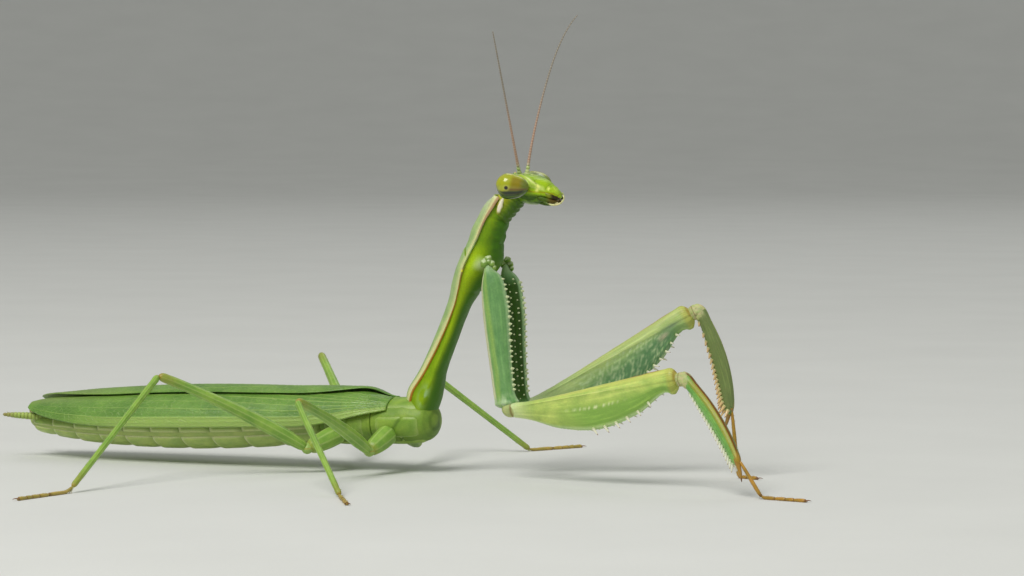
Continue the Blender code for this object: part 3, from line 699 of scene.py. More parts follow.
def plate(axis, up, stations, start, end, low, high, rows, columns, offset, sunk=0.15, narrowing=None,
    **form):
    """Plate lying on a body drawn out by the same stations.

    It runs from start to end along the axis and from angle low to high round it, in degrees,
    less narrowing(u) on either side. Offset(u, v) is how far it stands out, u along and v
    round it; it is sunk into the body below.
    """
    points, readings = [], {"along": [], "across": [], "rise": []}
    for layer in (0, 1):
        for i in range(rows + 1):
            at = slice_at(axis, up, stations, start + (end - start) * i / rows, **form)
            less = narrowing(i / rows) if narrowing else 0.0
            for j in range(columns + 1):
                around = math.radians(low + less + (high - low - 2 * less) * j / columns)
                point, out = at(around)
                points.append(point + out * (-sunk if layer else offset(i / rows, j / columns)))
                readings["along"].append(i / rows)
                readings["across"].append(2 * j / columns - 1)
                readings["rise"].append(math.sin(around))
    return points, sheet_faces(rows, columns), readings


def lip_offset(u, v):
    """Rounded flap with a notch at its free edge."""
    side = abs(2 * v - 1)
    shape = rising(u, 0.0, 0.2) * rising(1.0, u, u + 0.18) * rising(1.0, side, side + 0.25)
    return -0.12 + 0.19 * shape - 0.06 * bell(side, 0.0, 0.12) * rising(u, 0.6, 1.0)


lip_form = plate(head_axis, FACEWARD, HEAD, 0.80, 0.995, 14, 166, 30, 40, lip_offset, **HEAD_FORM)
paint(lip_form, edge=lambda t, c, r: max(rising(t, 0.80, 0.97), rising(abs(c), 0.84, 0.97)),
    light=lambda t, c, r: bell(abs(c), 0.3, 0.3) * bell(t, 0.4, 0.4))
lip = show("labrum", lip_form,
    cuticle("labrum_green", "98BC1E", (("light", "B4D43A"), ("edge", "A8922A")), roughness=0.3, gloss=0.25))
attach(lip, "root")

jaw_finish = cuticle("mandible", "7C8814", (("line", "5A3C10"), ("biting", "2C2008")), roughness=0.4,
    gloss=0.12)
maxilla_finish = cuticle("maxilla", "466010", (("biting", "62521E"),), roughness=0.55, gloss=0.04)
palp_finish = cuticle("palp_cream", "CACA98", (("joint", "9A8A50"), ("root", "4A6410")), roughness=0.4,
    gloss=0.15)
for name, side in SIDES:
    jaw_axis = through(on_head(3.95, side * 0.76, -0.02), on_head(4.7, side * 0.74, -0.06),
        on_head(5.42, side * 0.30, -0.10))
    jaw_form = skin(
        jaw_axis, FACEWARD, [(0, 0.30, 0.24, 0.30), (0.5, 0.24, 0.20, 0.26), (1, 0.12, 0.10, 0.12)], 34, 24,
        lambda t, c, r: 0.03 * math.sin(26 * t) * rising(t, 0.7, 0.85), caps=(0.2, 0.15),
    )
    paint(jaw_form, biting=lambda t, c, r: rising(t, 0.38, 0.62),
        line=lambda t, c, r: bell(r, 0.6, 0.3) * rising(t, 0.4, 0.55))
    jaw = show("mandible_" + name, jaw_form, jaw_finish)
    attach(jaw, "root")

    maxilla_axis = through(on_head(3.5, side * 0.95, -0.52), on_head(4.5, side * 0.8, -0.52),
        on_head(5.3, side * 0.34, -0.36))
    maxilla_form = skin(
        maxilla_axis, FACEWARD, [(0, 0.34, 0.28, 0.3), (0.5, 0.26, 0.22, 0.24), (1, 0.1, 0.1, 0.1)], 26, 20,
        caps=(0.2, 0.2)
    )
    paint(maxilla_form, biting=lambda t, c, r: rising(t, 0.4, 0.7))
    maxilla = show("maxilla_" + name, maxilla_form, maxilla_finish)
    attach(maxilla, "root")

    tuck = 1.0 if side < 0 else 0.62
    palp_axis = through(
        on_head(4.1, side * 0.98, -0.70), on_head(4.1 + 0.72 * tuck, side, -0.74),
        on_head(4.1 + 1.34 * tuck, side * 0.96, -0.62),
        on_head(4.1 + 1.72 * tuck, side * 0.82, -0.28), on_head(4.1 + 1.80 * tuck, side * 0.64, 0.12),
        on_head(4.1 + 1.54 * tuck, side * 0.46, 0.42),
    )
    palp_form = round_rod(
        palp_axis, ACROSS, [(0, 0.075), (0.5, 0.062), (0.9, 0.060), (1, 0.04)], 90, 20,
        lambda t, c, r: 0.025 * abs(math.sin(math.pi * 5 * t)) - 0.01, caps=(0.04, 0.05),
    )
    paint(
        palp_form,
        joint=lambda t, c, r: (1 - rising(abs(math.sin(math.pi * 5 * t)), 0.08, 0.22)) * 0.6
            * rising(t, 0.1, 0.2),
        root=lambda t, c, r: rising(0.26, t, t + 0.10),
    )
    palp = show("palp_of_maxilla_" + name, palp_form, palp_finish)
    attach(palp, "root")
    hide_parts("palp_" + name)

    short_axis = through(on_head(4.5, side * 0.42, -0.70), on_head(5.0, side * 0.5, -0.72),
        on_head(5.4, side * 0.36, -0.42))
    short_form = round_rod(
        short_axis, ACROSS, [(0, 0.09), (0.6, 0.08), (1, 0.06)], 50, 16,
        lambda t, c, r: 0.02 * abs(math.sin(math.pi * 3 * t)) - 0.01, caps=(0.06, 0.08),
    )
    paint(
        short_form, joint=lambda t, c, r: 1 - rising(abs(math.sin(math.pi * 3 * t)), 0.10, 0.30),
        root=lambda t, c, r: rising(0.4, t, t + 0.2) * 0.6,
    )
    short = show("palp_of_labium_" + name, short_form, palp_finish)
    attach(short, "root")

labium_form = skin(
    through(on_head(3.2, 0, -0.95), on_head(4.3, 0, -0.88), on_head(5.15, 0, -0.48)), FACEWARD,
    [(0, 0.55, 0.25, 0.3), (0.5, 0.55, 0.2, 0.24), (1, 0.3, 0.12, 0.12)], 36, 28,
    lambda t, c, r: -0.05 * bell(c, 0, 0.2) * rising(-r, 0.3, 0.7), caps=(0.2, 0.15),
)
paint(labium_form, biting=lambda t, c, r: rising(t, 0.7, 1.0))
labium = show("labium", labium_form, maxilla_finish)
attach(labium, "root")

# ---------------------------------------------------------------- neck
# Between head and pronotum the neck is a soft folded membrane over small side plates, so
# that the head can turn. It is yellow-green and creased across.
NECK = [(0.0, 1.2, 0.8, 1.3), (0.5, 1.25, 0.95, 1.35), (1.0, 1.15, 1.0, 1.2)]


def neck_relief(t, across, rise):
    """Cross folds, deepest below."""
    wave = math.sin(2 * math.pi * (6.5 * t + 0.5 * noise.noise(Vector((across * 1.4, rise * 1.4, 3.0)))))
    return (
        0.06 * wave * (0.5 + 0.5 * rising(-rise, -0.4, 0.6)) - 0.06 * bell(across, 0.55, 0.16)
        - 0.06 * bell(across, -0.55, 0.16)
    )


neck_form = skin(
    straight(HINGE + FORWARD * 18.0 - DORSAL * 0.55, on_head(1.3, 0, -0.4), FORWARD * 0.2), DORSAL, NECK,
    70, 72,
    neck_relief, caps=(0.1, 0.1),
)
# deep: darker green on the neck's underside, partly painted shade
paint(neck_form, yellow=lambda t, c, r: rising(r, -0.75, 0.1), deep=lambda t, c, r: rising(-r, 0.35, 0.85))
neck = show("neck_membrane", neck_form,
    cuticle("neck_folds", "6E9612", (("yellow", "B0B420"), ("deep", "42660A")), roughness=0.4, gloss=0.1))
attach(neck, "root")
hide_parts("neck")

# Near-white neck plates: pale sclerites, partly a painted highlight
pale_plate_and_highlight_finish = cuticle("neck_plate", "F0E6D6", (("rim", "A4A840"),), roughness=0.4, gloss=0.15)
for name, side in SIDES:
    lower, middle, upper = [
        HINGE + FORWARD * rise - DORSAL * 1.30 + Vector((0, side * wide, 0))
            for rise, wide in ((18.65, 1.30), (19.5, 1.36), (20.25, 1.22))
    ]
    form = skin(
        through(lower, middle, upper), DORSAL,
        [(0, 0.10, 0.14, 0.18), (0.5, 0.14, 0.26, 0.26), (1, 0.08, 0.16, 0.12)], 40, 24,
        lambda t, c, r: 0.05 * noise.noise(Vector((t * 5, c, r * 1.5))), caps=(0.25, 0.3),
    )
    paint(form, rim=lambda t, c, r: max(rising(abs(r + 0.2), 0.4, 1.0), rising(0.25, t, t + 0.2)))
    scale = show("neck_plate_" + name, form, pale_plate_and_highlight_finish)
    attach(scale, "root")

# ---------------------------------------------------------------- prothorax sides
# Under the pronotum the prothorax is a tube of side and breast plates, swollen where the
# forelegs' coxae hang from it. Its bright green band along the top is partly painted light,
# and its deep green underside is partly painted shade.
PROTHORAX = [
    (0.0, 1.65, 1.25, 0.7),
    (0.11, 1.75, 1.80, 0.85),
    (0.17, 1.55, 1.72, 0.72),
    (0.24, 1.32, 1.52, 0.44),
    (0.34, 1.22, 1.30, 0.50),
    (0.52, 1.50, 1.22, 0.62),
    (0.61, 2.05, 1.32, 1.10),
    (0.69, 2.40, 1.36, 1.75),
    (0.76, 2.15, 1.30, 2.18),
    (0.82, 1.90, 1.15, 1.86),
    (0.87, 1.72, 1.02, 1.75),
    (0.94, 1.50, 0.72, 1.68),
    (1.0, 1.30, 0.22, 1.60),
]
PROTHORAX_FORM = {"caps": (0.04, 0.02), "edge": 1.15, "level": -0.4}
prothorax_axis = straight(HINGE - FORWARD * 1.9, PROTHORAX_TOP)


def breast_relief(t, across, rise):
    """Plate edges, sockets of the coxae and the knobbly throat."""
    throat = rising(t, 0.77, 0.82) * rising(0.99, t, t + 0.05) * rising(-rise, 0.45, 0.8)
    wander = 0.012 * noise.noise(Vector((across * 3, rise * 3, 7.0)))
    lobes = (
        abs(math.sin(math.pi * (t + wander - 0.74) / 0.046)) * 0.10
        + 0.10 * noise.noise(Vector((t * 60, across * 4, rise * 4)))
    )
    groove = (
        bell(t, 0.928 + wander, 0.010) * rising(-rise, -0.1, 0.3)
        + bell(t, 0.60, 0.010) * rising(-rise, 0.1, 0.4)
    )
    socket = bell(t, 0.735, 0.05) * bell(rise, -0.6, 0.45)
    return (
        throat * (lobes - 0.14) - 0.07 * groove + 0.14 * socket
        + 0.03 * noise.noise(Vector((t * 30, across * 2, rise * 2)))
    )


sides_form = skin(prothorax_axis, DORSAL, PROTHORAX, 230, 88, breast_relief, **PROTHORAX_FORM)
paint(
    sides_form,
    # deep: deep green underside, partly painted shade
    deep=lambda t, c, r: rising(-r, 0.40 - 0.25 * rising(0.4, t, t + 0.3), 0.90)
        * (1 - 0.5 * bell(t, 0.72, 0.06)),
    # light: bright yellow-green band along the top, partly painted light, brightest over the stretch that
    # lies in the margin's shadow
    light=lambda t, c, r: bell(r, 0.15 - 0.45 * rising(t, 0.15, 0.45), 0.60) * rising(0.84, t, t + 0.12)
        * (0.2 + 0.8 * rising(t, 0.25, 0.5)),
    knob=lambda t, c, r: bell(t, 0.735, 0.04) * bell(r, -0.6, 0.35),
    blotch=lambda t, c, r: bell(t, 0.125, 0.07) * bell(r, -0.05, 0.6)
        * rising(noise.noise(Vector((t * 22, c * 2, r * 2.5))), -0.3, 0.15),
)
sides_finish = cuticle(
    "breast_green", "769A08",
    (("deep", "3E6E04"), ("light", "A8C804"), ("knob", "BFD596"), ("blotch", "96B880")),
    roughness=0.5, gloss=0.03, glow=0.2,
)
breast = show("prothorax_sides", sides_form, sides_finish)
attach(breast, "root")
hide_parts("prothorax")

# ---------------------------------------------------------------- pronotum
# The pronotum is one long hard plate, laid over the back of the prothorax like a narrow
# saddle. A groove crosses it above the coxae, and its toothed margin stands out at the sides.
MARGIN_TEETH = 92
SULCUS = 0.775
PRONOTUM_FROM, PRONOTUM_TO = 0.03, 1.015
PRONOTUM_FORM = {**PROTHORAX_FORM, "until": 1.06}
# Along the plate: how far its margin stands above the level of the widest line, in degrees
MARGIN_RISE = [
    (0.03, 52.0), (0.124, 46.0), (0.194, 35.5), (0.303, 25.5), (0.45, 9.0), (0.595, -3.0), (0.659, 0.0),
    (0.734, 1.0), (0.824, -5.0), (0.90, -6.0), (0.966, -16.0), (1.005, -22.0), (1.032, -30.0),
]
# Along the plate: how far its back arches over the tube below
ARCH = [
    (0.03, 0.20), (0.08, 0.40), (0.12, 0.36), (0.195, 0.15), (0.33, 0.14), (0.45, 0.05), (0.55, 0.0),
    (0.60, 0.05),
    (0.65, 0.05), (0.714, 0.0), (0.76, 0.0), (0.79, -0.04), (0.843, 0.15), (0.91, 0.18), (0.95, 0.27),
    (0.98, 0.30), (1.0, 0.18), (1.015, -0.06),
]


def on_tube(u):
    """Where along the prothorax a share of the plate's length lies."""
    return PRONOTUM_FROM + (PRONOTUM_TO - PRONOTUM_FROM) * u


def pronotum_offset(u, v):
    """Stand-off of the plate: flange, teeth, cross groove and keel."""
    side = abs(2 * v - 1)
    t = on_tube(u)
    arch = between(ARCH, t)[0] * (1 - side ** 2.2)
    flange = rising(side, 0.86, 0.97) * (0.12 + 0.07 * bell(t, 0.68, 0.16))
    teeth = (
        0.04 * max(0.0, math.sin(2 * math.pi * MARGIN_TEETH * u)) * rising(side, 0.93, 0.99)
        * rising(u, 0.3, 0.5)
    )
    groove = 0.12 * bell(t, SULCUS - 0.05 * side * side, 0.014) * rising(0.9, side, side + 0.2)
    keel = 0.05 * bell(side, 0.0, 0.05) * (rising(SULCUS, t, t + 0.08) + 0.4)
    ends = rising(u, 0.0, 0.012) * rising(1.0, u, u + 0.012)
    return (0.07 + arch + flange + teeth - groove + keel) * ends - 0.03 * (1 - ends)


def edge_of(c):
    """Distance in from the plate's margin, 0 at the margin and 1 at the keel."""
    return 1 - abs(c)


pronotum_form = plate(
    prothorax_axis, DORSAL, PROTHORAX, PRONOTUM_FROM, PRONOTUM_TO, 0, 180, 320, 84, pronotum_offset,
    sunk=0.12,
    narrowing=lambda u: between(MARGIN_RISE, on_tube(u))[0], **PRONOTUM_FORM
)
paint(
    pronotum_form,
    cream=lambda t, c, r: rising(edge_of(c), 0.03, 0.07)
        * rising(0.34 + 0.2 * rising(0.5, t, t + 0.3), edge_of(c), edge_of(c) + 0.30),
    orange=lambda t, c, r: rising(0.036, edge_of(c), edge_of(c) + 0.03) * rising(0.80, t, t + 0.25),
    tan=lambda t, c, r: rising(0.10, edge_of(c), edge_of(c) + 0.04) * rising(t, 0.74, 0.90),
    dot=lambda t, c, r: bell(t, 0.665, 0.009) * rising(0.10, edge_of(c), edge_of(c) + 0.05),
    groove=lambda t, c, r: bell(on_tube(t), SULCUS - 0.05 * c * c, 0.012) * rising(edge_of(c), 0.1, 0.3),
    keel=lambda t, c, r: bell(abs(c), 0.0, 0.035) * 0.5,
    front=lambda t, c, r: rising(t, 0.84, 0.99) * 0.8,
)
pronotum_finish = cuticle(
    "pronotum_sage", "9CBA7C",
    (("front", "BCCAA0"), ("groove", "88A268"), ("keel", "B6CA8C"), ("cream", "D6D498"),
        ("orange", "BC7C2C"), ("tan", "B2926C"),
     ("dot", "F0E23A")),
    roughness=0.4, gloss=0.12, clouding=0.7, grain=6.0,
)
pronotum = show("pronotum", pronotum_form, pronotum_finish)
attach(pronotum, "root")

# ---------------------------------------------------------------- thorax behind the hinge
# The level thorax is two short boxes of plates in a leathery skin: a back plate, a side plate
# over each middle or hind coxa and a breast plate. The wings hinge on its upper edges.
UP = Vector((0, 0, 1))
THORAX_FRONT = Vector((1.3, 0, 4.75))
THORAX_WAIST = Vector((-4.6, 0, 4.5))
THORAX_END = Vector((-9.6, 0, 4.3))
TRUNKS = {
    "mesothorax": (
        straight(THORAX_FRONT, THORAX_WAIST),
        [(0.0, 1.9, 1.5, 1.5), (0.3, 2.25, 1.95, 1.95), (0.7, 2.4, 2.05, 2.0), (1.0, 2.35, 1.95, 1.9)],
        (0.16, 0.05),
    ),
    "metathorax": (
        straight(THORAX_WAIST + Vector((0.4, 0, 0)), THORAX_END),
        [(0.0, 2.35, 1.95, 1.9), (0.5, 2.5, 2.0, 2.0), (1.0, 2.45, 1.9, 1.9)],
        (0.06, 0.06),
    ),
}
TRUNK_PLATES = {"back": (28, 152), "side_right": (-48, 20), "side_left": (160, 228), "breast": (236, 304)}


def plate_offset(lift, seam, edge=0.2):
    """Stand-off of a trunk plate with rounded corners; a slanting seam parts the side plates."""
    def offset(u, v):
        inside = (
            rising(u, 0.0, edge) * rising(1.0, u, u + edge) * rising(v, 0.0, edge) * rising(1.0, v, v + edge)
        )
        ripple = 0.025 * noise.noise(Vector((u * 4, v * 3, lift)))
        return -0.06 + (lift + 0.06 + ripple - seam * bell(u - 0.35 * v, 0.35, 0.05)) * inside
    return offset


trunk_skin = cuticle("thorax_skin", "7E9E3C", (("fold", "4E6E1E"),), roughness=0.5, gloss=0.1)
trunk_plate = cuticle("thorax_plate", "82A442", (("rim", "A2B868"), ("seam", "5E8028")), roughness=0.42,
    gloss=0.15)
for trunk, (trunk_axis, stations, caps) in TRUNKS.items():
    body = skin(
        trunk_axis, UP, stations, 60, 72,
        lambda t, c, r: -0.10 * bell(t, 0.5, 0.03) * rising(0.3, r, r + 0.3)
            + 0.03 * noise.noise(Vector((t * 9, c * 4, r * 4)))
        + 0.03 * math.sin(95 * t + 2 * c) * rising(0.14, t, t + 0.1),
        caps=caps,
    )
    paint(
        body, fold=lambda t, c, r: bell(t, 0.5, 0.05) * rising(0.3, r, r + 0.3) + 0.6 * rising(-r, 0.5, 0.9)
        + 0.5 * rising(0.14, t, t + 0.1) * rising(math.sin(95 * t + 2 * c), 0.2, 0.9),
    )
    core = show(trunk + "_skin", body, trunk_skin)
    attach(core, "root")
    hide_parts(trunk)
    for label, (low, high) in TRUNK_PLATES.items():
        seam = 0.10 if label.startswith("side") else 0.0
        form = plate(trunk_axis, UP, stations, 0.12, 0.94, low, high, 40, 36, plate_offset(0.09, seam),
            caps=caps)
        paint(
            form, rim=lambda t, c, r: 0.6 * max(rising(abs(t - 0.5), 0.30, 0.46), rising(abs(c), 0.6, 0.92)),
            seam=lambda t, c, r: 8 * seam * bell(t - 0.175 * (c + 1), 0.35, 0.06)
                * rising(0.8, abs(c), abs(c) + 0.2),
        )
        scale = show(trunk + "_" + label, form, trunk_plate)
        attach(scale, "root")

# ---------------------------------------------------------------- abdomen
# Ten rings of thin plates telescope over one soft tube: a wide back plate that wraps the
# sides and a narrower belly plate for each, every one slipping under the edge before it.
ABDOMEN_END, SAG = Vector((-41.0, 0, 3.3)), Vector((0, 0, -0.35))
ABDOMEN = [
    (0.0, 2.35, 1.8, 1.8),
    (0.12, 2.75, 2.0, 1.95),
    (0.45, 3.35, 2.2, 2.1),
    (0.75, 2.85, 1.85, 1.75),
    (0.92, 1.7, 1.15, 1.15),
    (1.0, 0.8, 0.65, 0.7),
]
ABDOMEN_FORM = {"caps": (0.03, 0.05)}
RINGS, FIRST_RING, LAST_RING = 10, 0.03, 0.965
abdomen_axis = straight(THORAX_END + Vector((0.5, 0, 0)), ABDOMEN_END, SAG)


def ring_edge(number):
    """Where along the abdomen a ring begins: they shorten towards the tip."""
    share = number / RINGS
    return FIRST_RING + (LAST_RING - FIRST_RING) * (1.16 * share - 0.16 * share * share)


def overlap_offset(u, v):
    """Stand-off of a telescoping plate: sunk in front, lifted and rolled in at its free edge."""
    side = rising(v, 0.0, 0.06) * rising(1.0, v, v + 0.06)
    return (
        (-0.08 + 0.16 * rising(u, 0.0, 0.5) + 0.04 * u) * side * rising(1.0, u, u + 0.035) - 0.05 * (1 - side)
    )


tube = skin(abdomen_axis, UP, ABDOMEN, 120, 64, lambda t, c, r: -0.06, **ABDOMEN_FORM)
paint(tube, fold=lambda t, c, r: 0.4)
core = show("abdomen_skin", tube,
    cuticle("abdomen_skin", "A9BE72", (("fold", "8FA456"),), roughness=0.55, gloss=0.1))
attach(core, "root")
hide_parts("abdomen")
tergite_finish = cuticle(
    "abdomen_back", "86A24A", (("edge", "B9C682"), ("front", "6A8636"), ("spot", "5C7A2C")), roughness=0.4,
    gloss=0.2, clouding=0.7
)
sternite_finish = cuticle(
    "abdomen_belly", "A4BC68", (("edge", "C4CE92"), ("front", "86A04C"), ("spot", "7F9C46")), roughness=0.4,
    gloss=0.2, clouding=0.7
)
for number in range(RINGS):
    start, end = ring_edge(number), ring_edge(number + 1) + 0.008
    for label, low, high, finish in (("back", -14, 194, tergite_finish),
        ("belly", 206, 334, sternite_finish)):
        form = plate(abdomen_axis, UP, ABDOMEN, start, end, low, high, 20, 60, overlap_offset, **ABDOMEN_FORM)
        paint(
            form, edge=lambda t, c, r: max(rising(t, 0.88, 0.97), rising(abs(c), 0.9, 0.98)),
            front=lambda t, c, r: rising(0.35, t, t + 0.35) * 0.8,
            spot=lambda t, c, r: 0.8 * bell(abs(c), 0.45, 0.12) * bell(t, 0.45, 0.2),
        )
        scale = show(f"abdomen_{label}_{number + 1}", form, finish)
        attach(scale, "root")

# ---------------------------------------------------------------- cerci
# Two feeler-like cerci of a dozen beaded joints stand out at the abdomen's end, each joint
# ringed with fine bristles.
CERCUS_JOINTS, CERCUS_LENGTH = 12, 4.2


def square_to(way):
    """A direction well away from the given one, to build a section on."""
    return FACEWARD if abs(way.dot(FACEWARD)) < 0.8 else ACROSS


def bristle(foot, way, length, radius=0.018):
    """Hair as a slim three-sided spike."""
    side = way.cross(square_to(way)).normalized() * radius
    other = way.cross(side).normalized() * radius
    points = [foot + side, foot - side * 0.5 + other * 0.87, foot - side * 0.5 - other * 0.87,
        foot + way * length]
    return points, [(0, 1, 3), (1, 2, 3), (2, 0, 3), (2, 1, 0)], {"along": [0, 0, 0, 1], "across": [0] * 4,
        "rise": [0] * 4}


def bristles(axis, radius_at, count, start, end, length, seed, lean=0.8):
    """Hairs scattered over a limb, leaning towards its far end."""
    draw = random.Random(seed)
    hairs = []
    for k in range(count):
        t = start + (end - start) * (k + draw.random()) / count
        along = (axis(min(1.0, t + 0.01)) - axis(t - 0.01)).normalized()
        side = along.cross(square_to(along)).normalized()
        turn = draw.uniform(0, 2 * math.pi)
        out = side * math.cos(turn) + along.cross(side) * math.sin(turn)
        way = (out + along * lean).normalized()
        hairs.append(bristle(axis(t) + out * radius_at(t) * 0.9, way, length * draw.uniform(0.7, 1.2)))
    return merged(hairs)


def hair_finish():
    """Pale straw hair, darker at its root."""
    finish = Finish("bristle", Roughness=0.5)
    tint = finish.blend(finish.reading("along"), colour("8C8440"), colour("D8D2A0"))
    return finish.done(tint, finish.raise_by(finish.grain(20.0), 0.002))


bristle_finish = hair_finish()
cercus_finish = cuticle("cercus", "9CB45C", (("joint", "6E7A34"), ("tip", "8A7A4A")), roughness=0.45,
    gloss=0.15, grain=12.0)
for name, side in SIDES:
    foot = ABDOMEN_END + Vector((2.3, side * 1.0, 0.45))
    cercus_axis = straight(foot, foot + aim(3, 160, side) * CERCUS_LENGTH * 0.995)
    form = round_rod(
        cercus_axis, UP, [(0, 0.30), (0.3, 0.33), (0.7, 0.26), (1, 0.12)], 120, 20,
        lambda t, c, r: 0.045 * abs(math.sin(math.pi * CERCUS_JOINTS * t)) - 0.02, caps=(0.04, 0.05),
    )
    paint(form, joint=lambda t, c, r: 1 - rising(abs(math.sin(math.pi * CERCUS_JOINTS * t)), 0.2, 0.5),
        tip=lambda t, c, r: rising(t, 0.6, 1.0) * 0.8)
    cercus = show("beaded_cercus_" + name, form, cercus_finish)
    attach(cercus, "root")
    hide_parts("cercus_" + name)
    fringe = show("cercus_bristles_" + name,
        bristles(cercus_axis, lambda t: 0.3 - 0.16 * t, 70, 0.1, 0.9, 0.3, 11 + side, 0.6), bristle_finish)
    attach(fringe, "root")

# ---------------------------------------------------------------- forewings
# The tegmina are long leathery wings folded flat over the abdomen, the left over the right.
# Stout veins fan out from the root with a net of cross veins between; the front edge is paler.
WING_ROOT, WING_TIP = -2.9, -40.4
WING_THICKNESS, WING_CLEARANCE, WING_CROSSING = 0.16, 0.45, 0.46
COSTAL_EDGE, INNER_EDGE = -8.0, 118.0
WING_BED = [
    (-41.0, 1.6, 1.4), (-38.0, 2.3, 1.6), (-33.0, 3.0, 2.0), (-24.0, 3.45, 2.35), (-13.0, 2.95, 2.2),
    (-8.0, 2.65, 2.15),
    (-2.0, 2.5, 2.05),
]
# Each vein: where it lies across the wing at the root, a third, two thirds and the tip, and its height
VEINS = [
    ((0.02, 0.02, 0.02, 0.03), 0.06),
    ((0.10, 0.09, 0.07, 0.04), 0.05),
    ((0.16, 0.15, 0.15, 0.18), 0.09),
    ((0.22, 0.26, 0.30, 0.36), 0.06),
    ((0.26, 0.37, 0.43, 0.50), 0.05),
    ((0.32, 0.48, 0.56, 0.64), 0.06),
    ((0.36, 0.58, 0.68, 0.78), 0.05),
    ((0.42, 0.70, 0.84, 0.93), 0.05),
    ((0.60, 0.86, 0.97, 1.00), 0.05),
]


def slab(rows, columns, outer, inner):
    """Closed sheet between two surfaces, each a function of (u, v); rise is 1 on the outer one."""
    points, readings = [], {"along": [], "across": [], "rise": []}
    for surface, rise in ((outer, 1.0), (inner, -1.0)):
        for i in range(rows + 1):
            for j in range(columns + 1):
                points.append(surface(i / rows, j / columns))
                readings["along"].append(i / rows)
                readings["across"].append(2 * j / columns - 1)
                readings["rise"].append(rise)
    return points, sheet_faces(rows, columns), readings


def wing_surface(side, u, v):
    """Middle of the wing's sheet at u from root to tip and v from front edge to inner edge."""
    x = WING_ROOT + (WING_TIP - WING_ROOT) * u
    tip_taper = math.sqrt(max(0.0, 1 - max(0.0, (u - 0.72) / 0.285) ** 2))
    root_taper = 0.4 + 0.6 * math.sin(min(1.0, u / 0.25) * math.pi / 2)
    reach = 0.5 * (INNER_EDGE - COSTAL_EDGE) * tip_taper * root_taper
    angle = 0.5 * (COSTAL_EDGE + INNER_EDGE) + (v * 2 - 1) * reach
    wide, high = between(WING_BED, x)
    share = (x - ABDOMEN_END.x) / (THORAX_FRONT.x - ABDOMEN_END.x)
    lift = WING_CLEARANCE * (0.15 + 0.85 * rising(u, 0.0, 0.09))
    over = rising(angle, 15, 55) * (1 - 0.3 * rising(angle, 96, 118)) * rising(u, 0.0, 0.07)
    lift += WING_CROSSING * over if side > 0 else 0.0
    turn = math.radians(angle)
    out = Vector((0, side * math.cos(turn), math.sin(turn)))
    middle = Vector((x, 0, ABDOMEN_END.z + (THORAX_FRONT.z - ABDOMEN_END.z) * share))
    return middle + Vector((0, side * wide * math.cos(turn), high * math.sin(turn))) + out * lift, out


def vein_height(u, v):
    """Relief of the veins and of the cross veins between them."""
    height = 0.0
    for (root, third, two_thirds, tip), tall in VEINS:
        where = between([(0, root), (0.33, third), (0.67, two_thirds), (1, tip)], u)[0]
        height = max(height, tall * bell(v, where, 0.016) * (1 - 0.5 * u))
    wobble = 0.006 * noise.noise(Vector((u * 40, v * 9, 1.0)))
    across = abs(math.sin(math.pi * (u + wobble + 0.12 * v) * 85))
    return max(height, 0.018 * rising(across, 0.86, 1.0) * rising(v, 0.18, 0.24))


def wing_finish():
    """Leathery green sheet: paler front field, light veins, and a fine net in the relief."""
    finish = Finish("tegmen_green", Roughness=0.42, Coat_Weight=0.15, Coat_Roughness=0.3,
        Subsurface_Weight=0.15,
                    Subsurface_Radius=(0.5, 1.0, 0.25), Subsurface_Scale=0.3 * MM)
    clouds = finish.ease(finish.grain(0.35, 4.0), 0.3, 0.7)
    tint = finish.blend(clouds, colour("54802A"), colour("6F9A3A"))
    tint = finish.blend(finish.sum("MULTIPLY", finish.reading("costal"), 0.75), tint, colour("A3BE62"))
    tint = finish.blend(finish.sum("MULTIPLY", finish.reading("membrane"), 0.5), tint, colour("8A9A58"))
    net = finish.node("TexVoronoi",
        {"Vector": finish.node("Mapping", {"Vector": finish.millimetres, "Scale": (1.0, 2.2, 2.2)}),
        "Scale": 1.5},
                      "Distance", feature="DISTANCE_TO_EDGE")
    thread = finish.ease(net, 0.0, 0.09, 1.0, 0.0)
    tint = finish.blend(finish.sum("MULTIPLY", thread, 0.35), tint, colour("94B458"))
    tint = finish.blend(finish.reading("vein"), tint, colour("9DBB5C"))
    normal = finish.raise_by(thread, 0.02, finish.raise_by(finish.grain(5.0, 3.0), 0.015))
    return finish.done(tint, normal, finish.ease(finish.grain(3.0), 0.3, 0.7, 0.36, 0.5))


tegmen_finish = wing_finish()
for name, side in SIDES:
    def face_of(u, v, half):
        """Point of the wing's upper or under face."""
        point, out = wing_surface(side, u, v)
        thin = 0.3 + 0.7 * rising(min(v, 1 - v, 1 - u), 0.0, 0.03)
        return point + out * (half * WING_THICKNESS / 2 * thin + (vein_height(u, v) if half > 0 else 0.0))

    form = slab(240, 84, lambda u, v: face_of(u, v, 1), lambda u, v: face_of(u, v, -1))
    if side > 0:
        form = (form[0], [tuple(reversed(face)) for face in form[1]], form[2])
    paint(
        form,
        vein=lambda u, c, r: rising(vein_height(u, (c + 1) / 2), 0.016, 0.05) * 0.75 * rising(r, 0, 1),
        costal=lambda u, c, r: rising(0.17, (c + 1) / 2, (c + 1) / 2 + 0.03) * rising(0.95, u, u + 0.3),
        membrane=lambda u, c, r: rising(u, 0.6, 0.95) * rising(c, -0.4, 0.4),
    )
    wing = show("tegmen_" + name, form, tegmen_finish)
    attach(wing, "root")
    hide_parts("forewing_" + name)

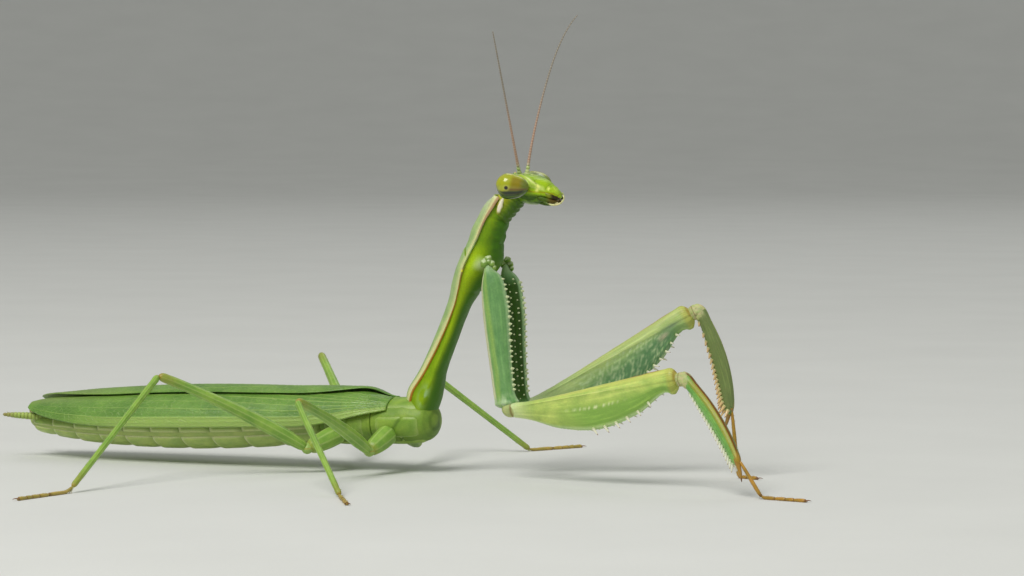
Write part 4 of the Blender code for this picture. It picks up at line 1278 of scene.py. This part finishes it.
# ---------------------------------------------------------------- foreleg coxae
# The forelegs hang from long three-edged coxae. Blunt ivory tubercles line the front edge
# and stand in two rows down the inner face, which is painted dark as shade; a pale knob joins each to the
# prothorax.
FORE_COXA, FORE_FEMUR, FORE_TIBIA, FORE_TARSUS = 13.0, 17.8, 9.7, 8.6
FORE_ROOT = {"right": Vector((7.22, -2.1, 19.09)), "left": Vector((7.04, 2.1, 18.82))}
FORE_POSE = {
    "right": {"coxa": (-78.9, 25.7), "femur": (10.5, 8.2), "tibia": (-45.6, 26.6), "tarsus": (-53.0, 11.7)},
    "left": {"coxa": (-84.3, 13.1), "femur": (29.1, 14.9), "tibia": (-72.8, 5.4), "tarsus": (-82.5, -17.8)},
}
FORE_COXA_SHAPE = [
    (0.0, 0.50, 0.34, 0.42),
    (0.05, 0.64, 0.46, 0.50),
    (0.085, 0.72, 0.86, 0.62),
    (0.12, 0.79, 1.12, 0.78),
    (0.17, 0.82, 1.27, 0.94),
    (0.35, 0.78, 1.36, 1.11),
    (0.55, 0.72, 1.13, 1.13),
    (0.75, 0.66, 0.96, 1.08),
    (0.9, 0.62, 0.92, 1.06),
    (0.96, 0.66, 1.18, 1.02),
    (1.0, 0.68, 1.30, 1.00),
]
COXA_FORM = {"caps": (0.07, 0.04), "edge": 1.2}
AHEAD = Vector((1, 0, 0))
FRONT_TUBERCLES, INNER_TUBERCLES = 21, 17


def coxa_tip(name, side):
    """Joint between a foreleg's coxa and its femur."""
    return FORE_ROOT[name] + aim(*FORE_POSE[name]["coxa"], side) * FORE_COXA


def ivory(name, root, body, tip):
    """Horny growth: coloured at its root, pale along its body, dark at its tip."""
    finish = Finish(name, Roughness=0.28, Coat_Weight=0.4, Coat_Roughness=0.15)
    t = finish.reading("along")
    tint = finish.blend(finish.ease(t, 0.02, 0.30), colour(root), colour(body))
    tint = finish.blend(finish.ease(t, 0.72, 0.92), tint, colour(tip))
    return finish.done(tint, finish.raise_by(finish.grain(14.0), 0.006))


def coxa_relief(t, across, rise):
    """Raised rear line, hollow faces and flared end of the coxa."""
    line = 0.05 * bell(rise, -0.62, 0.14) * rising(t, 0.08, 0.2)
    hollow = -0.10 * bell(rise, 0.22, 0.45) * rising(t, 0.10, 0.3) * rising(0.96, t, t + 0.2)
    flare = 0.05 * bell(t, 0.965, 0.02)
    return line + hollow + flare + 0.02 * noise.noise(Vector((t * 26, across * 2, rise * 2)))


coxa_finish = cuticle(
    "coxa_sage", "6A9860",
    (("leaf", "8EB058"), ("inner", "2A4A0A"), ("rim", "42603A"), ("front", "94B684"), ("rear", "CFCFAA"),
        ("end", "A6C292"), ("top", "A8C494")),
    roughness=0.45, gloss=0.06, clouding=0.7, grain=6.0, streak=0.3,
)
# Each lump of the folded hinge: ahead of, out from and above the coxa's root, and its radius
HINGE_LUMPS = [
    (-0.24, 0.34, -0.04, 0.42), (0.08, 0.20, 0.36, 0.36), (0.38, 0.18, -0.06, 0.30),
    (0.56, 0.06, -0.40, 0.22), (0.16, 0.32, 0.12, 0.28),
]
hinge_finish = cuticle("hinge_folds", "86A850", (("fold", "567C22"), ("pale", "BCCE9E")), roughness=0.5,
    gloss=0.06, grain=9.0)
tubercle_finish = ivory("tubercle", "8CA878", "C0CC9A", "D8DAB0")
for name, side in SIDES:
    hip = FORE_ROOT[name]
    coxa_axis = straight(hip, coxa_tip(name, side))
    form = skin(coxa_axis, AHEAD, FORE_COXA_SHAPE, 130, 72, coxa_relief, **COXA_FORM)
    paint(
        form,
        leaf=lambda t, c, r: bell(r, -0.34 + 0.15 * noise.noise(Vector((t * 5, 3, 1))), 0.40)
            * rising(-side * c, -0.2, 0.1) * 0.75,
        # inner: the inner face painted dark green as shade
        inner=lambda t, c, r: rising(side * c, 0.12, 0.42) * rising(t, 0.05, 0.16)
            * rising(0.99, t, t + 0.08),
        rim=lambda t, c, r: bell(side * c, 0.16, 0.22) * rising(r, 0.5, 0.8) * 0.8,
        front=lambda t, c, r: rising(r, 0.86, 0.98) * 0.8,
        rear=lambda t, c, r: rising(-r, 0.58, 0.74) * 0.9,
        end=lambda t, c, r: rising(t + 0.05 * noise.noise(Vector((c * 2, r * 3, t * 9))), 0.88, 0.97)
            * rising(-side * c, -0.5, 0.0)
        * rising(noise.noise(Vector((c * 2.2, r * 2.2, t * 12))), -0.25, 0.15),
        top=lambda t, c, r: rising(0.10, t, t + 0.10) * 0.8,
    )
    coxa = show("coxa_of_foreleg_" + name, form, coxa_finish)
    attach(coxa, "root")
    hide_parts("fore_coxa_" + name)

    draw = random.Random(5 + side)
    knobs = []
    for count, angle, start, end, size in (
        (FRONT_TUBERCLES, 90.0, 0.13, 0.88, 0.105),
        (INNER_TUBERCLES, 52.0, 0.10, 0.90, 0.070),
        (INNER_TUBERCLES, 26.0, 0.13, 0.93, 0.062),
        (12, -90.0, 0.15, 0.9, 0.035),
    ):
        for k in range(count):
            t = start + (end - start) * (k + draw.uniform(-0.25, 0.25)) / (count - 1)
            at = slice_at(coxa_axis, AHEAD, FORE_COXA_SHAPE, t, **COXA_FORM)
            point, out = at(math.radians(180.0 - angle if side < 0 else angle))
            radius = size * draw.uniform(0.8, 1.15)
            reach = 0.04 if angle == 90.0 else -0.03
            knobs.append(round_rod(
                straight(point - out * 0.12, point + out * (radius * 1.9 + reach)), square_to(out),
                [(0, radius * 1.9), (0.35, radius * 1.4), (0.7, radius * 0.85), (1, radius * 0.3)], 9, 10,
                caps=(0.05, 0.2),
            ))
    row = show("coxa_tubercles_" + name, merged(knobs), tubercle_finish)
    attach(row, "root")

    knobs = []
    for number, (ahead, outward, high, radius) in enumerate(HINGE_LUMPS):
        foot = hip + Vector((ahead, side * outward, high))
        lean = Vector((0.2, side, 0.15)).normalized()
        lump = skin(
            straight(foot - lean * radius, foot + lean * radius * 0.8), UP,
            [(0, radius, radius, radius), (1, radius * 0.8, radius, radius * 0.9)],
            26, 34, lambda t, c, r: 0.28 * radius
                * noise.noise(Vector((t * 2.0 + number, c * 1.4, r * 1.4))), caps=(0.5, 0.5),
        )
        # pale: each lump's upper side painted lighter as a highlight; fold: darker where it meets the body,
        # painted shade
        knobs.append(paint(lump, fold=lambda t, c, r: rising(0.5, t, t + 0.4),
            pale=lambda t, c, r: rising(r, 0.1, 0.9)))
    joint = show("coxa_hinge_" + name, merged(knobs), hinge_finish)
    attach(joint, "root")

# ---------------------------------------------------------------- foreleg femora
# The grasping arm is deep and blade-edged below, where long spines and short teeth grow in two
# rows. A small trochanter carries it on the coxa; two horny lobes guard the knee.
FORE_FEMUR_SHAPE = [
    (0.0, 0.55, 0.50, 0.75),
    (0.12, 0.66, 0.32, 1.30),
    (0.3, 0.84, 0.40, 2.50),
    (0.52, 0.92, 0.64, 3.08),
    (0.75, 0.80, 0.90, 2.25),
    (0.88, 0.68, 1.08, 1.05),
    (0.92, 0.66, 1.10, 0.88),
    (0.955, 0.64, 1.10, 1.10),
    (1.0, 0.56, 0.88, 0.88),
]
FEMUR_FORM = {"caps": (0.05, 0.035), "edge": 1.25}
KNEE_STEP = 0.6


def hinged(start, corner, end, bow):
    """Axis from start to a rounded corner, and on to end in a line that bows out by the vector."""
    first, second, bend = corner - start, end - corner, 0.45

    def onwards(walked):
        share = walked / second.length
        return corner + second * share + bow * (4 * share * (1 - share))

    def axis(t):
        walked = t * (first.length + second.length) - first.length
        if walked <= -bend:
            return corner + first.normalized() * walked
        if walked >= bend:
            return onwards(walked)
        u = (walked + bend) / (2 * bend)
        return (
            (corner - first.normalized() * bend) * (1 - u) ** 2 + corner * (2 * u * (1 - u))
            + onwards(bend) * u * u
        )

    return axis


def thorn(foot, way, length, radius, sweep, root=0.15, rings=10, sides=10):
    """Tapering spine that leaves along one way and bends over by the sweep."""
    axis = through(foot - way * root, foot + way * length * 0.5 + sweep * 0.12,
        foot + way * length + sweep * 0.5)
    radii = [(0, radius * 1.3), (0.15, radius * 1.15), (0.3, radius * 0.85), (0.7, radius * 0.5),
        (1, radius * 0.1)]
    return round_rod(axis, square_to(way), radii, rings, sides, caps=(0.03, 0.02))


def edge_thorns(axis, stations, rows):
    """Rows of spines along a limb's lower edge.

    Each row is (start, end, count, length, short share, across, radius, lean).
    """
    made = []
    for start, end, count, length, short, across, radius, lean in rows:
        for k in range(count):
            t = start + (end - start) * k / (count - 1)
            below = between(stations, t)[2]
            along = (axis(t + 0.01) - axis(t - 0.01)).normalized()
            side = along.cross(UP).normalized()
            outward = along.cross(side)
            reach = length * (1.0 if k % 2 == 0 else short) * (1.1 - 0.65 * rising(t, 0.5, 0.95))
            way = (outward + along * lean + side * across * 0.5).normalized()
            foot = axis(t) + outward * (below - 0.06) + side * across
            made.append(thorn(foot, way, reach, radius * (0.75 + 0.25 * reach / length), along * 0.12))
    return merged(made)


def femur_relief(t, across, rise):
    """Long flutes on the faces, a beaded lower edge and a swollen knee."""
    flute = -0.05 * bell(rise, -0.15, 0.3) + 0.03 * bell(rise, -0.42, 0.12)
    beads = 0.04 * abs(math.sin(math.pi * 46 * t)) * rising(-rise, 0.90, 0.99) * rising(t, 0.15, 0.3)
    lobe = 0.05 * bell(t, 0.96, 0.03) - 0.05 * bell(t, 0.99, 0.008)
    return (
        (flute + beads) * rising(t, 0.05, 0.2) + lobe
        + 0.02 * noise.noise(Vector((t * 22, across * 2, rise * 3)))
    )


femur_finish = cuticle(
    "femur_green", "B2CA6C",
    (("lower", "86B04E"), ("upper", "BCC464"), ("vein", "CAD680"), ("belly", "BCD898"), ("dots", "E0EAB0"),
        ("dull", "98AE76"), ("bloom", "5E8A5C"), ("hatch", "AEC494"),
     ("steel", "768C6E"), ("blush", "B4AC90"), ("tooth_line", "2E5A2E"), ("line", "A07030"),
     ("knee", "A8AA50"), ("ring", "8A6428"),
     ("base", "D2E2B4")),
    roughness=0.45, gloss=0.10, clouding=0.6, grain=6.0, streak=0.5,
)
spine_finish = ivory("spine", "B8C88A", "E8E6CE", "8A5A3A")
joint_finish = cuticle("joint_cream", "B0BC80", (("mottle", "CCBC94"), ("ring", "6E4A20")), roughness=0.5,
    gloss=0.06)
for name, side in SIDES:
    coxa_end = coxa_tip(name, side)
    reach_way = aim(*FORE_POSE[name]["femur"], side)
    femur_axis = straight(coxa_end, coxa_end + reach_way * FORE_FEMUR)
    form = skin(femur_axis, UP, FORE_FEMUR_SHAPE, 150, 80, femur_relief, **FEMUR_FORM)
    paint(
        form,
        # lower: greener and darker below, partly the femur's colour and partly painted shade
        lower=lambda t, c, r: rising(-r, 0.15, 0.6) * rising(t, 0.2, 0.5),
        upper=lambda t, c, r: rising(r, 0.35, 0.9) * 0.9 * rising(t, 0.1, 0.5),
        vein=lambda t, c, r: bell(r, 0.05 + 0.3 * t, 0.12) * rising(0.95, t, t + 0.4) * 0.8,
        belly=lambda t, c, r: rising(-r, 0.88, 0.97) * rising(-side * c, -0.1, 0.1) * 0.8,
        dots=lambda t, c, r: bell(r, -0.46 + 0.10 * (t - 0.5), 0.035)
            * rising(math.sin(2 * math.pi * 30 * t + 2 * math.sin(40 * t)), -0.4, 0.6)
        * rising(t, 0.32, 0.40) * rising(0.76, t, t + 0.2) * 0.9,
        dull=lambda t, c, r: rising(side * c, -0.1, 0.35) * (0.55 + 0.3 * rising(0.45, t, t + 0.25)),
        bloom=lambda t, c, r: rising(side * c, 0.0, 0.25) * rising(t, 0.22, 0.42) * rising(0.95, t, t + 0.12)
        * rising(0.10 + 0.7 * (t - 0.5), r, r + 0.8),
        hatch=lambda t, c, r: rising(side * c, 0.0, 0.25) * rising(t, 0.22, 0.34) * rising(0.9, t, t + 0.15)
        * rising(0.25 + 0.7 * (t - 0.5), r, r + 0.5)
            * rising(noise.noise(Vector((t * 75 - r * 14, c * 2, r * 9))), -0.1, 0.4) * 0.8,
        steel=lambda t, c, r: rising(side * c, 0.0, 0.25) * bell(t, 0.88, 0.07) * bell(r, -0.05, 0.45) * 0.8,
        blush=lambda t, c, r: rising(side * c, 0.0, 0.25) * bell(t, 0.82, 0.05) * bell(r, -0.40, 0.22) * 0.8,
        # Dark line along the row of teeth: painted shadows of the spines
        tooth_line=lambda t, c, r: rising(side * c, 0.0, 0.2) * bell(r, -0.86, 0.10) * rising(t, 0.2, 0.3)
            * rising(0.7, t, t + 0.2) * 0.7,
        line=lambda t, c, r: rising(r, 0.93, 0.985) * rising(t, 0.60, 0.8) * rising(-side * c, -0.3, -0.1)
            * rising(0.93, t, t + 0.05),
        knee=lambda t, c, r: rising(t, 0.935, 0.965) * 0.8,
        ring=lambda t, c, r: bell(t, 0.984, 0.010) * 0.6 * rising(r, -0.7, 0.3),
        base=lambda t, c, r: rising(0.20, t, t + 0.25) * 0.9,
    )
    femur = show("femur_of_foreleg_" + name, form, femur_finish)
    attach(femur, "root")
    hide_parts("fore_femur_" + name)

    rows = (
        (0.49, 0.82, 6, 0.62, 1.0, 0.30 * -side, 0.13, 0.58),
        (0.36, 0.88, 13, 0.30 if side < 0 else 0.55, 0.55, 0.42 * side, 0.09 if side < 0 else 0.12, 1.1),
    )
    spines = show("femur_spines_" + name, edge_thorns(femur_axis, FORE_FEMUR_SHAPE, rows), spine_finish)
    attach(spines, "root")

    hub = skin(
        straight(coxa_end - reach_way * 0.45 - UP * 0.05, coxa_end + reach_way * 1.5 - UP * 0.15), UP,
        [(0, 0.5, 0.45, 0.5), (0.4, 0.66, 0.55, 0.75), (1, 0.5, 0.3, 0.7)], 30, 40, caps=(0.3, 0.3),
    )
    paint(hub, ring=lambda t, c, r: bell(t, 0.62, 0.10) * 0.8)
    trochanter = show("trochanter_of_foreleg_" + name, hub, joint_finish)
    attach(trochanter, "root")

    knee = femur_axis(1.0) + reach_way * KNEE_STEP
    shin = aim(*FORE_POSE[name]["tibia"], side)
    ball = skin(
        hinged(knee - reach_way * 1.0, knee, knee + shin * 1.1, Vector((0, 0, 0))), UP,
        [(0, 0.46, 0.66, 0.64), (0.35, 0.52, 0.68, 0.62), (0.6, 0.53, 0.66, 0.56), (1, 0.44, 0.48, 0.48)],
        44, 44,
        lambda t, c, r: 0.09 * noise.noise(Vector((t * 5, c * 1.6, r * 1.6 + side)))
            - 0.05 * bell(t, 0.36, 0.05), caps=(0.25, 0.3),
    )
    paint(
        ball,
        mottle=lambda t, c, r: rising(noise.noise(Vector((t * 9, c * 3, r * 3 + side))), -0.1, 0.3) * 0.7,
        ring=lambda t, c, r: max(bell(t, 0.26, 0.035) * 0.7,
            rising(r, 0.88, 0.97) * rising(t, 0.42, 0.55) * rising(0.2, side * c, side * c + 0.3)),
    )
    joint = show("knee_of_foreleg_" + name, ball, joint_finish)
    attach(joint, "root")

# ---------------------------------------------------------------- foreleg tibiae
# Each tibia is a short curved bar that snaps back into the femur's groove. Two combs of
# close-set spines lengthen towards its end, which runs out in one long hooked claw.
FORE_TIBIA_SHAPE = [
    (0.0, 0.46, 0.60, 0.56),
    (0.08, 0.50, 0.62, 0.52),
    (0.18, 0.46, 0.52, 0.58),
    (0.38, 0.44, 0.54, 0.82),
    (0.63, 0.42, 0.52, 0.88),
    (0.88, 0.35, 0.45, 0.70),
    (1.0, 0.30, 0.36, 0.46),
]
TIBIA_FORM = {"caps": (0.07, 0.07)}
TIBIA_BOW = {"right": Vector((0.42, 0, 0.22)), "left": Vector((0.75, 0, 0.1))}
CLAW_TURN = {"right": Vector((-0.05, 0, -0.15)), "left": Vector((-0.3, 0, -0.2))}
CLAW_LENGTH = 2.0


def tibia_line(name, side):
    """Axis of a foreleg's tibia, from inside the femur's end round the knee to the claw."""
    reach_way = aim(*FORE_POSE[name]["femur"], side)
    knee = coxa_tip(name, side) + reach_way * (FORE_FEMUR + KNEE_STEP)
    shin = aim(*FORE_POSE[name]["tibia"], side) * FORE_TIBIA
    return hinged(knee - reach_way * (KNEE_STEP + 0.1), knee, knee + shin, TIBIA_BOW[name])


tibia_finish = cuticle(
    "tibia_green", "74AA56",
    (("grey", "6E7C4A"), ("groove", "8EC078"), ("band", "949230"), ("edge", "6E3A14"), ("top", "B8BA88"),
        ("end", "A07A2A")),
    roughness=0.42, gloss=0.12, grain=7.0, streak=0.4,
)
comb_finish = ivory("comb_spine", "B4C890", "F0F0DA", "CDBB90")
amber_comb_finish = ivory("amber_comb_spine", "AEB070", "E0C088", "A05E24")
claw_finish = ivory("tibial_claw", "9A742A", "A07A2A", "5E3614")
for name, side in SIDES:
    tibia_axis = tibia_line(name, side)
    form = skin(
        tibia_axis, UP, FORE_TIBIA_SHAPE, 110, 56,
        lambda t, c, r: -0.05 * bell(r, 0.1, 0.3) + 0.04 * bell(r, 0.55, 0.14)
            + 0.03 * abs(math.sin(math.pi * 34 * t)) * rising(-r, 0.85, 0.98),
        **TIBIA_FORM,
    )
    paint(
        form,
        grey=lambda t, c, r: rising(side * c, -0.1, 0.3) * 0.95,
        band=lambda t, c, r: rising(r, 0.0, 0.60) * rising(-side * c, -0.3, 0.1) * rising(t, 0.06, 0.2) * 0.9,
        edge=lambda t, c, r: rising(r, 0.91, 0.985)
            * rising(-side * c, -0.3 if side < 0 else -0.05, 0.0 if side < 0 else 0.15)
            * rising(0.97, t, t + 0.1),
        top=lambda t, c, r: rising(0.15, t, t + 0.06) * rising(0.8, r, r + 0.3) * 0.8,
        groove=lambda t, c, r: bell(r, -0.55, 0.25) * 0.5 * rising(-side * c, -0.1, 0.2),
        end=lambda t, c, r: rising(t + 0.10 * r, 0.95, 1.05) * 0.9,
    )
    tibia = show("tibia_of_foreleg_" + name, form, tibia_finish)
    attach(tibia, "root")
    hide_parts("fore_tibia_" + name)

    teeth = []
    for count, start, across in ((20, 0.20, 0.20 * -side), (17, 0.16, 0.20 * side)):
        for k in range(count):
            t = start + (0.96 - start) * (k / (count - 1)) ** (0.75 if side > 0 else 1.0)
            below = between(FORE_TIBIA_SHAPE, t)[2]
            along = (tibia_axis(t + 0.01) - tibia_axis(t - 0.01)).normalized()
            sideways = along.cross(UP).normalized()
            out = along.cross(sideways)
            way = (out + along * 1.15 + sideways * across * 0.8).normalized()
            foot = tibia_axis(t) + out * (below - 0.05) + sideways * across
            teeth.append(thorn(foot, way, 0.28 + 0.46 * t * t, 0.15, along * 0.10))
    comb = show("tibia_comb_" + name, merged(teeth), amber_comb_finish if side > 0 else comb_finish)
    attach(comb, "root")

    claw_way = ((tibia_axis(1.0) - tibia_axis(0.9)).normalized() + CLAW_TURN[name]).normalized()
    hook = thorn(tibia_axis(0.96), claw_way, CLAW_LENGTH, 0.24, Vector((-0.3, 0, 0.1)), root=0.3, rings=30,
        sides=18)
    claw = show("tibial_claw_" + name, hook, claw_finish)
    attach(claw, "root")

# ---------------------------------------------------------------- walking legs
# The four walking legs are slim: a stout coxa and small trochanter, a long keeled femur, and a
# rod-like tibia with two spurs and rows of fine hairs.
WALKING = {
    "mid": (Vector((-2.6, 1.7, 3.7)), (3.6, 12.3, 12.0, 7.0)),
    "hind": (Vector((-7.4, 1.7, 3.6)), (4.0, 15.5, 16.0, 8.0)),
}
WALKING_POSE = {
    "mid_right": {"coxa": (-24.0, 100.0), "femur": (25.0, 98.0), "tibia": (-37.0, 41.0),
        "tarsus": (-4.0, 58.0)},
    "mid_left": {"coxa": (-24.0, 100.0), "femur": (25.0, 107.0), "tibia": (-37.0, 44.0),
        "tarsus": (-4.0, 62.0)},
    "hind_right": {"coxa": (-20.0, 122.0), "femur": (26.5, 134.0), "tibia": (-32.6, 94.0),
        "tarsus": (-4.0, 98.0)},
    "hind_left": {"coxa": (-20.0, 122.0), "femur": (26.5, 130.0), "tibia": (-32.6, 104.0),
        "tarsus": (-4.0, 108.0)},
}
LEG_SHAPES = {
    "coxa": [(0.0, 0.9, 0.9, 0.9), (0.5, 0.85, 0.85, 0.9), (1.0, 0.6, 0.6, 0.6)],
    "femur": [(0.0, 0.42, 0.46, 0.46), (0.2, 0.55, 0.60, 0.60), (0.7, 0.38, 0.42, 0.42),
        (0.94, 0.36, 0.42, 0.40), (1.0, 0.42, 0.48, 0.46)],
    "tibia": [(0.0, 0.32, 0.36, 0.36), (0.10, 0.27, 0.30, 0.30), (0.6, 0.24, 0.25, 0.25),
        (0.93, 0.24, 0.25, 0.25), (1.0, 0.30, 0.30, 0.30)],
}
FEMUR_BOW = Vector((0, 0, 0.35))
HAIR_ROOM = 0.01  # hairs stay this far above the floor


def leg_joints(pair, name, side):
    """Ends of a walking leg's segments, from its hip to its ankle."""
    hip_left, lengths = WALKING[pair]
    joints = [Vector((hip_left.x, hip_left.y * side, hip_left.z))]
    for segment, length in zip(LEG_SHAPES, lengths):
        joints.append(joints[-1] + aim(*WALKING_POSE[pair + "_" + name][segment], side) * length)
    return joints


def above_floor(form, level=0.0):
    """The form with every point that lies lower lifted to that level."""
    for point in form[0]:
        point.z = max(point.z, level)
    return form


def limb_relief(t, across, rise):
    """Fine keels down a walking leg."""
    keels = 0.5 + 0.5 * math.cos(8 * math.atan2(rise, across))
    return 0.035 * keels * rising(t, 0.05, 0.15) * rising(0.97, t, t + 0.1)


limb_finish = cuticle(
    "walking_leg_green", "84AC48", (("keel", "B2C878"), ("joint", "A8863C"), ("end", "9C8A3A")),
    roughness=0.4, gloss=0.2, grain=8.0
)
for pair in WALKING:
    for name, side in SIDES:
        label = pair + "_" + name
        joints = leg_joints(pair, name, side)
        hairs = []
        for segment, start, end in zip(LEG_SHAPES, joints, joints[1:]):
            limb_axis = straight(start, end, FEMUR_BOW if segment == "femur" else Vector((0, 0, 0)))
            cap = {"coxa": 0.18, "femur": 0.05, "tibia": 0.04}[segment]
            form = skin(limb_axis, UP, LEG_SHAPES[segment], 30 if segment == "coxa" else 110, 40,
                limb_relief, caps=(cap, cap))
            paint(
                form, keel=lambda t, c, r: rising(math.cos(8 * math.atan2(r, c)), 0.3, 0.9) * 0.5,
                joint=lambda t, c, r: rising(abs(t - 0.5), 0.475, 0.495) * 0.7,
                end=lambda t, c, r: rising(t, 0.8, 1.0) * 0.5,
            )
            limb = show(f"{segment}_of_leg_{label}", form, limb_finish)
            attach(limb, "root")
            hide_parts(f"{pair}_{segment}_{name}")
            way = (end - start).normalized()
            if segment == "coxa":
                knob = bead(end, UP, 0.5, 0.52, 16, 28)
                paint(knob, keel=lambda t, c, r: 0.4, joint=lambda t, c, r: bell(t, 0.5, 0.1) * 0.6,
                    end=lambda t, c, r: 0.0)
                hub = show("trochanter_of_leg_" + label, knob, limb_finish)
                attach(hub, "root")
            else:
                girth = 0.4 if segment == "femur" else 0.24
                hairs.append(bristles(limb_axis, lambda t: girth, 60 if segment == "femur" else 130, 0.08,
                    0.96, 0.26, len(label) + side, 1.0))
            if segment == "tibia":
                spurs = [thorn(end + UP * lift, (way - UP * 0.4 + way.cross(UP) * across).normalized(),
                    0.62, 0.075, way * 0.1)
                         for lift, across in ((-0.12, 0.35), (-0.12, -0.35))]
                spur = show("tibial_spurs_" + label, above_floor(merged(spurs)), spine_finish)
                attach(spur, "root")
        fringe = show("leg_bristles_" + label, above_floor(merged(hairs), HAIR_ROOM), bristle_finish)
        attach(fringe, "root")

# ---------------------------------------------------------------- feet
# Every tarsus has five joints, the first by far the longest, with a soft pad under the end of
# each. It comes down at a slant, lies on the floor and ends in a pair of curved claws.
JOINT_ENDS = (0.0, 0.46, 0.63, 0.76, 0.86, 1.0)
SOLE_HEIGHT = 0.8  # of the foot's radius
FORE_SOLE, WALKING_SOLE = 0.17, 0.18  # radius of a foot
FOOT_SLOPE = -22.0  # degrees, at which a walking foot leaves its ankle
CLAW_ROOM = 0.62


def foot_path(start, way, flat_way, length, radius, claws):
    """Axis of a foot: down at a slant, then level on the floor."""
    drop = max(0.3, (start.z - 0.216) / max(0.05, -way.z))
    landing = start + way * drop
    landing.z = radius * SOLE_HEIGHT
    flat_run = max(1.6, length - drop) - claws
    bend = 0.5
    slant = (landing - start).normalized()
    drop = (landing - start).length

    def axis(t):
        walked = t * (drop + flat_run)
        if walked <= drop - bend:
            return start + slant * walked
        if walked >= drop + bend:
            return landing + flat_way * (walked - drop)
        u = (walked - drop + bend) / (2 * bend)
        return (
            (landing - slant * bend) * (1 - u) ** 2 + landing * (2 * u * (1 - u))
            + (landing + flat_way * bend) * u * u
        )

    return axis


def foot_form(axis, radius):
    """Five joints and their pads, flattened where they touch the floor."""
    joints = []
    for first, last in zip(JOINT_ENDS, JOINT_ENDS[1:]):
        step = 0.01 if first else 0.0
        part_axis = lambda t, a=first - step, b=last: axis(a + (b - a) * t)
        radii = [(0, radius * 0.62), (0.25, radius * 0.86), (0.8, radius), (1, radius * 0.7)]
        joints.append(paint(round_rod(part_axis, UP, radii, 34, 20, caps=(0.06, 0.05)),
            joint=lambda t, c, r: rising(t, 0.86, 0.97)))
        pad = axis(first + (last - first) * 0.9)
        if pad.z < radius * 2:
            sole = bead(Vector((pad.x, pad.y, radius * 0.45)), (axis(last) - axis(first)).normalized(),
                radius * 0.8, radius * 1.1, 10, 14)
            joints.append(paint(sole, joint=lambda t, c, r: 0.5))
    return above_floor(merged(joints))


fore_foot_finish = cuticle("foot_amber", "AC8434", (("joint", "7A5420"),), roughness=0.35, gloss=0.35,
    grain=10.0)
foot_finish = cuticle("foot_tan", "B09A4C", (("joint", "7A5A28"),), roughness=0.4, gloss=0.3, grain=10.0)
hook_finish = ivory("foot_claw", "9A7030", "7A4A1C", "32180A")
feet = []
for name, side in SIDES:
    pitch, yaw = FORE_POSE[name]["tarsus"]
    start = tibia_line(name, side)(0.97) + Vector((0.2, 0, 0.1))
    feet.append(("fore", name, start, aim(pitch, yaw, side), aim(0, yaw, side), FORE_TARSUS, FORE_SOLE))
for pair, (hip_left, lengths) in WALKING.items():
    for name, side in SIDES:
        yaw = WALKING_POSE[pair + "_" + name]["tarsus"][1]
        ankle = leg_joints(pair, name, side)[-1]
        slope, level = aim(FOOT_SLOPE, yaw, side), aim(0, yaw, side)
        feet.append((pair, name, ankle, slope, level, lengths[3], WALKING_SOLE))
for pair, name, start, way, flat_way, length, radius in feet:
    axis = foot_path(start, way, flat_way, length, radius, CLAW_ROOM)
    foot = show(f"tarsus_{pair}_{name}", foot_form(axis, radius),
        fore_foot_finish if pair == "fore" else foot_finish)
    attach(foot, "root")
    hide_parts(f"{pair}_tarsus_{name}")
    sideways = flat_way.cross(UP)
    hooks = []
    for spread in (-1, 1):
        out = (flat_way + sideways * spread * 0.55 + UP * 0.35).normalized()
        hooks.append(thorn(axis(0.985) + sideways * spread * 0.06, out, 0.5, 0.065,
            (flat_way - UP * 1.6) * 0.22, rings=16, sides=12))
    claws = show(f"claws_{pair}_{name}", above_floor(merged(hooks)), hook_finish)
    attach(claws, "root")
    hairs = bristles(axis, lambda t: radius * 0.9, 90, 0.05, 0.95, 0.2, len(pair) + len(name), 1.0)
    fringe = show(f"foot_bristles_{pair}_{name}", above_floor(hairs, HAIR_ROOM), bristle_finish)
    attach(fringe, "root")
